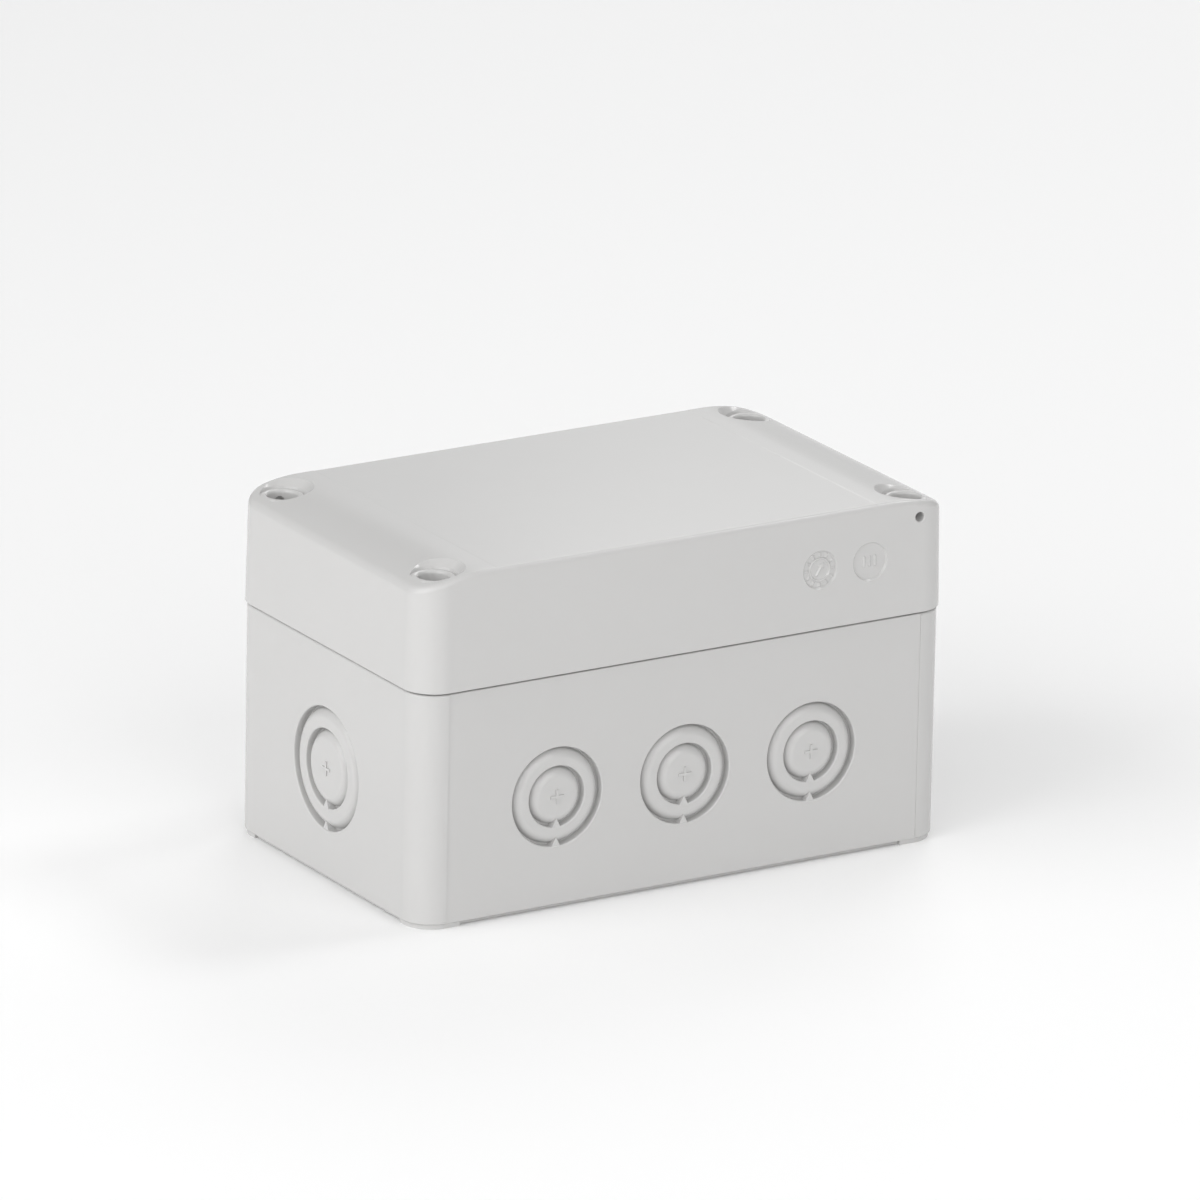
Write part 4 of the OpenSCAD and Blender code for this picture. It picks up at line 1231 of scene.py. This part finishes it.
def build_rings():
    """The rubber rings that keep the lid screws in the lid."""
    for corner in CORNERS:
        low, high = box_mm("retaining_ring_" + corner)
        centre = (low + high) / 2
        outer, bore = (high.x - low.x) / 2, 1.56
        half, edge = (high.z - low.z) / 2, 0.35
        near, far, level = bore + edge, outer - edge, half - edge
        section = []
        for x, z, start in ((far, level, 0), (near, level, 90), (near, -level, 180), (far, -level, 270)):
            section += arc(x, z, edge, start, start + 90, 5)
        solid = Solid()
        solid.ring_lathe(section, centre, 56)
        obj = solid.piece("rubber_ring_" + corner)
        seat(obj, "ring_" + corner, "seal", ring_rubber(), "retaining_ring_" + corner)


# ---------- fasteners ----------


def thread_rows(radius, depth, pitch, low, high, per_turn=10):
    """Heights of the rows along a thread, and its radius at a height and a turn."""
    crest, start, end = 0.12, 0.8, 0.5
    count = max(2, round((high - low) / pitch * per_turn))
    rows = [low + (high - low) * i / count for i in range(count + 1)]

    def radius_at(z, turn):
        phase = ((z - low) / pitch - turn / math.tau) % 1.0
        fade = min(1.0, (z - low) / (start * pitch), (high - z) / (end * pitch))
        ridge = min(1.0, max(0.0, (abs(2 * phase - 1) - crest) / (1 - 2 * crest)))
        return radius - depth * ridge * max(0.0, fade)

    return rows, radius_at


def threaded_screw(profile_low, thread, profile_high, segments=48):
    """A screw as one closed surface: tip profile, thread, then shank and head profile."""
    radius, depth, pitch, low, high = thread
    rows, radius_at = thread_rows(radius, depth, pitch, low, high)
    turns = [math.tau * i / segments for i in range(segments)]
    solid = Solid()
    bands = [solid.ring((r * math.cos(t), r * math.sin(t), z) for t in turns) for r, z in profile_low]
    for z in rows:
        bands.append(solid.ring(
            (radius_at(z, t) * math.cos(t), radius_at(z, t) * math.sin(t), z) for t in turns
        ))
    bands += [solid.ring((r * math.cos(t), r * math.sin(t), z) for t in turns) for r, z in profile_high]
    for low_ring, high_ring in zip(bands, bands[1:]):
        solid.bridge(low_ring, high_ring)
    solid.face(list(reversed(bands[0])))
    solid.face(bands[-1])
    return solid


def cross_cutter(length_mm, width, depth, top):
    """A tapered cross recess."""
    long, thin = length_mm / 2, width / 2
    foot = width * 0.45 + long * 0.35
    outline = cross_outline(long, thin)
    squeezed = [(max(-foot, min(foot, x)), max(-foot, min(foot, y))) for x, y in outline]
    solid = Solid()
    solid.loft([at_height(squeezed, top - depth), at_height(outline, top + 0.5)])
    return solid


def head_profile(shank, head, low, high, edge=0.35):
    """A screw head with rounded edges, above its shank."""
    foot, slant = 0.12, edge * 0.3
    return [
        (shank, low - 0.05), (shank + 0.1, low), (head - foot, low), (head, low + foot),
        (head, high - edge), (head - slant, high - slant), (head - edge, high),
    ]


def move(obj, x, y):
    """Moves a mesh along X and Y, in millimetres."""
    obj.data.transform(Matrix.Translation((x, y, 0)))


def build_lid_screws():
    """Captive lid screws: round head with a cross recess, thin shank and threaded end."""
    head_height, thread_length = 3.5, 6.2
    thread_r, shank_r, head_r = 1.99, 1.49, 2.9
    for corner in CORNERS:
        node = "lid_screw_" + corner
        low, high = box_mm(node)
        centre = (low + high) / 2
        top = low.z + thread_length
        solid = threaded_screw(
            [(1.0, low.z), (1.3, low.z + 0.05), (1.68, low.z + 0.6)],
            (thread_r, 0.36, 0.7, low.z + 1.0, top - 0.25),
            [(thread_r, top - 0.2), (1.9, top), (shank_r, top + 0.3)]
            + head_profile(shank_r, head_r, high.z - head_height, high.z),
        )
        obj = solid.piece("captive_screw_" + corner)
        cut(obj, cross_cutter(3.6, 0.9, 2.0, high.z))
        move(obj, centre.x, centre.y)
        seat(obj, "screw_" + corner, "screw_steel", screw_steel(), node)


def build_clamp_screws():
    """Slotted screws of the eight clamps."""
    head_height, thread_r, head_r = 2.4, 1.49, 1.95
    slot_half, slot_depth = 0.3, 1.0
    for circuit in CIRCUITS:
        for side in SIDES:
            node = f"clamp_screw_{circuit}_{side}"
            low, high = box_mm(node)
            centre = (low + high) / 2
            head_low = high.z - head_height
            solid = threaded_screw(
                [(1.1, low.z), (1.22, low.z + 0.1)],
                (thread_r, 0.26, 0.5, low.z + 0.3, head_low - 0.6),
                [(thread_r, head_low - 0.5)] + head_profile(thread_r, head_r, head_low, high.z, 0.25),
                40,
            )
            obj = solid.piece(f"slotted_screw_{circuit}_{side}")
            slot = Solid()
            slot.block((-3, -slot_half, high.z - slot_depth), (3, slot_half, high.z + 1))
            cut(obj, slot)
            move(obj, centre.x, centre.y)
            seat(obj, node, "screw_steel", screw_steel(), node)


def build_inserts():
    """Knurled brass inserts in the base's corner posts."""
    knurls, knurl_depth, bore, chamfer, clear = 28, 0.18, 2.05, 0.3, 0.02
    segments = knurls * 3
    turns = [math.tau * i / segments for i in range(segments)]
    s = shell_sizes()
    low, high = INSERT_LOW.z, INSERT_HIGH.z
    # Height, and how far the outside is set back; the bands at 0 are knurled
    levels = [
        (low, 0.25), (low + 0.25, 0.0), (low + 2.6, 0.0), (low + 2.8, 0.35), (low + 4.0, 0.35),
        (low + 4.2, 0.0), (high - 0.9, 0.0), (high - 0.9, 0.12), (high - 0.1, 0.12), (high, 0.2),
    ]
    inside = [(bore + chamfer, high), (bore, high - chamfer), (bore, low + chamfer), (bore + chamfer, low)]
    solid = Solid()
    for sx, sy in CORNERS.values():
        centre = Vector((sx * s.screw_x, sy * s.screw_y, 0))
        bands = []
        for z, inset in levels:
            points = []
            for i, turn in enumerate(turns):
                radius = INSERT_RADIUS - clear - inset - (knurl_depth if inset == 0.0 and i % 3 else 0.0)
                points.append(centre + Vector((radius * math.cos(turn), radius * math.sin(turn), z)))
            bands.append(solid.ring(points))
        for radius, z in inside:
            bands.append(solid.ring(
                centre + Vector((radius * math.cos(t), radius * math.sin(t), z)) for t in turns
            ))
        for low_ring, high_ring in zip(bands, bands[1:] + bands[:1]):
            solid.bridge(low_ring, high_ring)
    seat(solid.piece("brass_inserts"), "base", "brass", turned_brass(), "threaded_inserts")


# ---------- rail ----------


def build_rail():
    """The mounting rail with folded bends and two slots."""
    low, high = box_mm("din_rail")
    half_w, channel, t, bend, lip = high.y, 13.5, 1.0, 0.8, 0.3
    top, bottom = high.z, low.z
    outer = (
        arc(half_w - lip, top - lip, lip, 0, 90, 3)
        + arc(channel + bend, top - bend - t, bend + t, 90, 180, 6)
        + arc(channel - t - bend, bottom + t + bend, bend, 360, 270, 6)
    )
    inner = (
        arc(channel - bend - t, bottom + bend + t, bend + t, 270, 360, 6)
        + arc(channel + bend, top - t - bend, bend, 180, 90, 6)
        + arc(half_w - lip, top - t + lip, lip, 270, 360, 3)
    )
    section = outer + [(-y, z) for y, z in reversed(outer)]
    section += [(-y, z) for y, z in reversed(inner)] + inner
    solid = Solid()
    solid.loft([[(x, y, z) for y, z in section] for x in (low.x, low.x + 0.01, high.x - 0.01, high.x)])
    obj = solid.piece("mounting_rail")
    screws = box_mm("rail_screws")[1]
    slot_length, slot_width = 10, 4.5
    reach, radius = (slot_length - slot_width) / 2, slot_width / 2
    slots = Solid()
    for side in (-1, 1):
        centre = side * (screws.x - screws.y)
        plan = arc(centre + reach, 0, radius, -90, 90, 12) + arc(centre - reach, 0, radius, 90, 270, 12)
        slots.prism(plan, bottom - 1, bottom + 2)
    cut(obj, slots)
    seat(obj, "base", "rail_steel", rail_zinc(), "din_rail")


# ---------- operators ----------


class JUNCTIONBOX_OT_base(bpy.types.Operator):
    """Builds the base shell"""

    bl_idname = "junction_box.base"
    bl_label = "Base"

    def execute(self, context):
        build_base()
        return {"FINISHED"}


class JUNCTIONBOX_OT_lid(bpy.types.Operator):
    """Builds the lid"""

    bl_idname = "junction_box.lid"
    bl_label = "Lid"

    def execute(self, context):
        build_lid()
        return {"FINISHED"}


class JUNCTIONBOX_OT_seals(bpy.types.Operator):
    """Builds the gasket and the retaining rings"""

    bl_idname = "junction_box.seals"
    bl_label = "Gasket and rings"

    def execute(self, context):
        build_gasket()
        build_rings()
        return {"FINISHED"}


class JUNCTIONBOX_OT_lid_screws(bpy.types.Operator):
    """Builds the lid screws and their brass inserts"""

    bl_idname = "junction_box.lid_screws"
    bl_label = "Lid screws and inserts"

    def execute(self, context):
        build_lid_screws()
        build_inserts()
        return {"FINISHED"}


class JUNCTIONBOX_OT_rail(bpy.types.Operator):
    """Builds the rail and finishes its screws"""

    bl_idname = "junction_box.rail"
    bl_label = "Rail"

    def execute(self, context):
        build_rail()
        dress("rail_screws", screw_steel(), 0.15)
        return {"FINISHED"}


class JUNCTIONBOX_OT_terminals(bpy.types.Operator):
    """Finishes the terminals, end plate, brackets, tags and conductors"""

    bl_idname = "junction_box.terminals"
    bl_label = "Terminals"

    def execute(self, context):
        materials = (terminal_grey(), terminal_grey(), neutral_blue(), earth_two_tone())
        for circuit, material in zip(CIRCUITS, materials):
            dress("terminal_" + circuit, material, 0.15)
        for node in ("end_plate", "end_bracket_left", "end_bracket_right"):
            dress(node, terminal_grey(), 0.2)
        dress("end_bracket_screws", screw_steel(), 0.15)
        dress("marker_tags", tag_white(), 0.12)
        dress("current_bars", rolled_copper(), 0.1)
        dress("earth_foot", rolled_copper(), 0.1)
        return {"FINISHED"}


class JUNCTIONBOX_OT_clamps(bpy.types.Operator):
    """Builds the clamp screws and finishes the clamp cages"""

    bl_idname = "junction_box.clamps"
    bl_label = "Clamps"

    def execute(self, context):
        build_clamp_screws()
        for circuit in CIRCUITS:
            for side in SIDES:
                dress(f"clamp_cage_{circuit}_{side}", cage_zinc(), 0.1)
        return {"FINISHED"}


# Softboxes: azimuth from +X and elevation in degrees, distance and side in metres, watts
SOFTBOXES = {
    "left_softbox": (180, 30, 2.0, 1.6, 18.0),
    "front_softbox": (-90, 30, 2.0, 1.6, 12.8),
    "front_left_softbox": (-142, 25, 2.0, 1.2, 8.0),
    "high_left_softbox": (180, 52, 1.9, 0.6, 1.0),
    "high_right_softbox": (-5, 55, 1.9, 0.42, 4.8),
    "back_right_softbox": (45, 35, 1.9, 0.9, 4.4),
    "back_left_softbox": (135, 35, 1.9, 0.9, 1.6),
    "backdrop_softbox": (58, 4, 2.5, 2.0, 5.2),
}


def softbox(name, azimuth, elevation, distance, side, watts):
    """A soft square light that faces the box."""
    data = bpy.data.lights.new(name, "AREA")
    data.shape = "SQUARE"
    data.size = side
    data.energy = watts
    light = bpy.data.objects.new(name, data)
    turn, rise = math.radians(azimuth), math.radians(elevation)
    away = Vector((math.cos(turn) * math.cos(rise), math.sin(turn) * math.cos(rise), math.sin(rise)))
    light.location = away * distance
    middle = Vector((0, 0, LID_HIGH.z * MM / 2))
    light.rotation_euler = (middle - light.location).to_track_quat("-Z", "Y").to_euler()
    bpy.context.scene.collection.objects.link(light)


def studio_floor():
    """A wide pale floor."""
    size = 6.0
    mesh = bpy.data.meshes.new("floor")
    corners = [(-size, -size, 0), (size, -size, 0), (size, size, 0), (-size, size, 0)]
    mesh.from_pydata(corners, [], [(0, 1, 2, 3)])
    floor = bpy.data.objects.new("floor", mesh)
    bpy.context.scene.collection.objects.link(floor)
    s = Shader("floor_paint", roughness=0.6)
    tint = colours().floor
    s.colour(s.blend(s.noise(3, 1.0), shade(tint, 0.995), shade(tint, 1.005)))
    mesh.materials.append(s.material)


def studio_camera():
    """A long lens looking down at the front-left corner."""
    azimuth, elevation, roll = math.radians(31.606), math.radians(18.02), math.radians(1.13)
    distance = 2.65
    aim = Vector((0.00185, 0.0, 0.04967))
    forward = Vector((
        math.sin(azimuth) * math.cos(elevation), math.cos(azimuth) * math.cos(elevation), -math.sin(elevation)
    ))
    data = bpy.data.cameras.new("camera")
    data.sensor_width = 36.0
    data.lens = 391.8
    data.clip_start, data.clip_end = 0.1, 50.0
    camera = bpy.data.objects.new("camera", data)
    turn = forward.to_track_quat("-Z", "Y").to_matrix().to_4x4() @ Matrix.Rotation(roll, 4, "Z")
    camera.matrix_world = Matrix.Translation(aim - forward * distance) @ turn
    bpy.context.scene.collection.objects.link(camera)
    bpy.context.scene.camera = camera


class JUNCTIONBOX_OT_stage(bpy.types.Operator):
    """Sets up the floor, lights and camera"""

    bl_idname = "junction_box.stage"
    bl_label = "Stage"

    def execute(self, context):
        studio_floor()
        studio_camera()
        world = bpy.data.worlds.new("studio")
        world.use_nodes = True
        background = world.node_tree.nodes["Background"]
        background.inputs["Color"].default_value = (1, 1, 1, 1)
        background.inputs["Strength"].default_value = WORLD_STRENGTH
        context.scene.world = world
        context.scene.view_settings.view_transform = "Standard"
        for name, placing in SOFTBOXES.items():
            softbox(name, *placing)
        return {"FINISHED"}


class JUNCTIONBOX_PT_pieces(bpy.types.Panel):
    """Lists the pieces of the junction box"""

    bl_idname = "JUNCTIONBOX_PT_pieces"
    bl_label = "Junction box"
    bl_space_type = "VIEW_3D"
    bl_region_type = "UI"
    bl_category = "Junction box"

    def draw(self, context):
        """A button for each operator."""
        for operator in OPERATORS:
            self.layout.operator(operator.bl_idname)


OPERATORS = (
    JUNCTIONBOX_OT_base,
    JUNCTIONBOX_OT_lid,
    JUNCTIONBOX_OT_seals,
    JUNCTIONBOX_OT_lid_screws,
    JUNCTIONBOX_OT_rail,
    JUNCTIONBOX_OT_terminals,
    JUNCTIONBOX_OT_clamps,
    JUNCTIONBOX_OT_stage,
)
GROUPS = {
    "junction_box_shell": JunctionBoxShellSizes,
    "junction_box_features": JunctionBoxFeatureSizes,
    "junction_box_colours": JunctionBoxColours,
}


def register():
    """Registers the settings, the operators and the panel."""
    for group in GROUPS.values():
        bpy.utils.register_class(group)
    for operator in OPERATORS:
        bpy.utils.register_class(operator)
    bpy.utils.register_class(JUNCTIONBOX_PT_pieces)
    for name, group in GROUPS.items():
        setattr(bpy.types.Scene, name, PointerProperty(type=group))


def unregister():
    """Takes away what register added."""
    for name in GROUPS:
        delattr(bpy.types.Scene, name)
    bpy.utils.unregister_class(JUNCTIONBOX_PT_pieces)
    for operator in reversed(OPERATORS):
        bpy.utils.unregister_class(operator)
    for group in reversed(list(GROUPS.values())):
        bpy.utils.unregister_class(group)


def main():
    register()
    for operator in OPERATORS:
        group, name = operator.bl_idname.split(".")
        getattr(getattr(bpy.ops, group), name)()


if __name__ == "__main__":
    main()
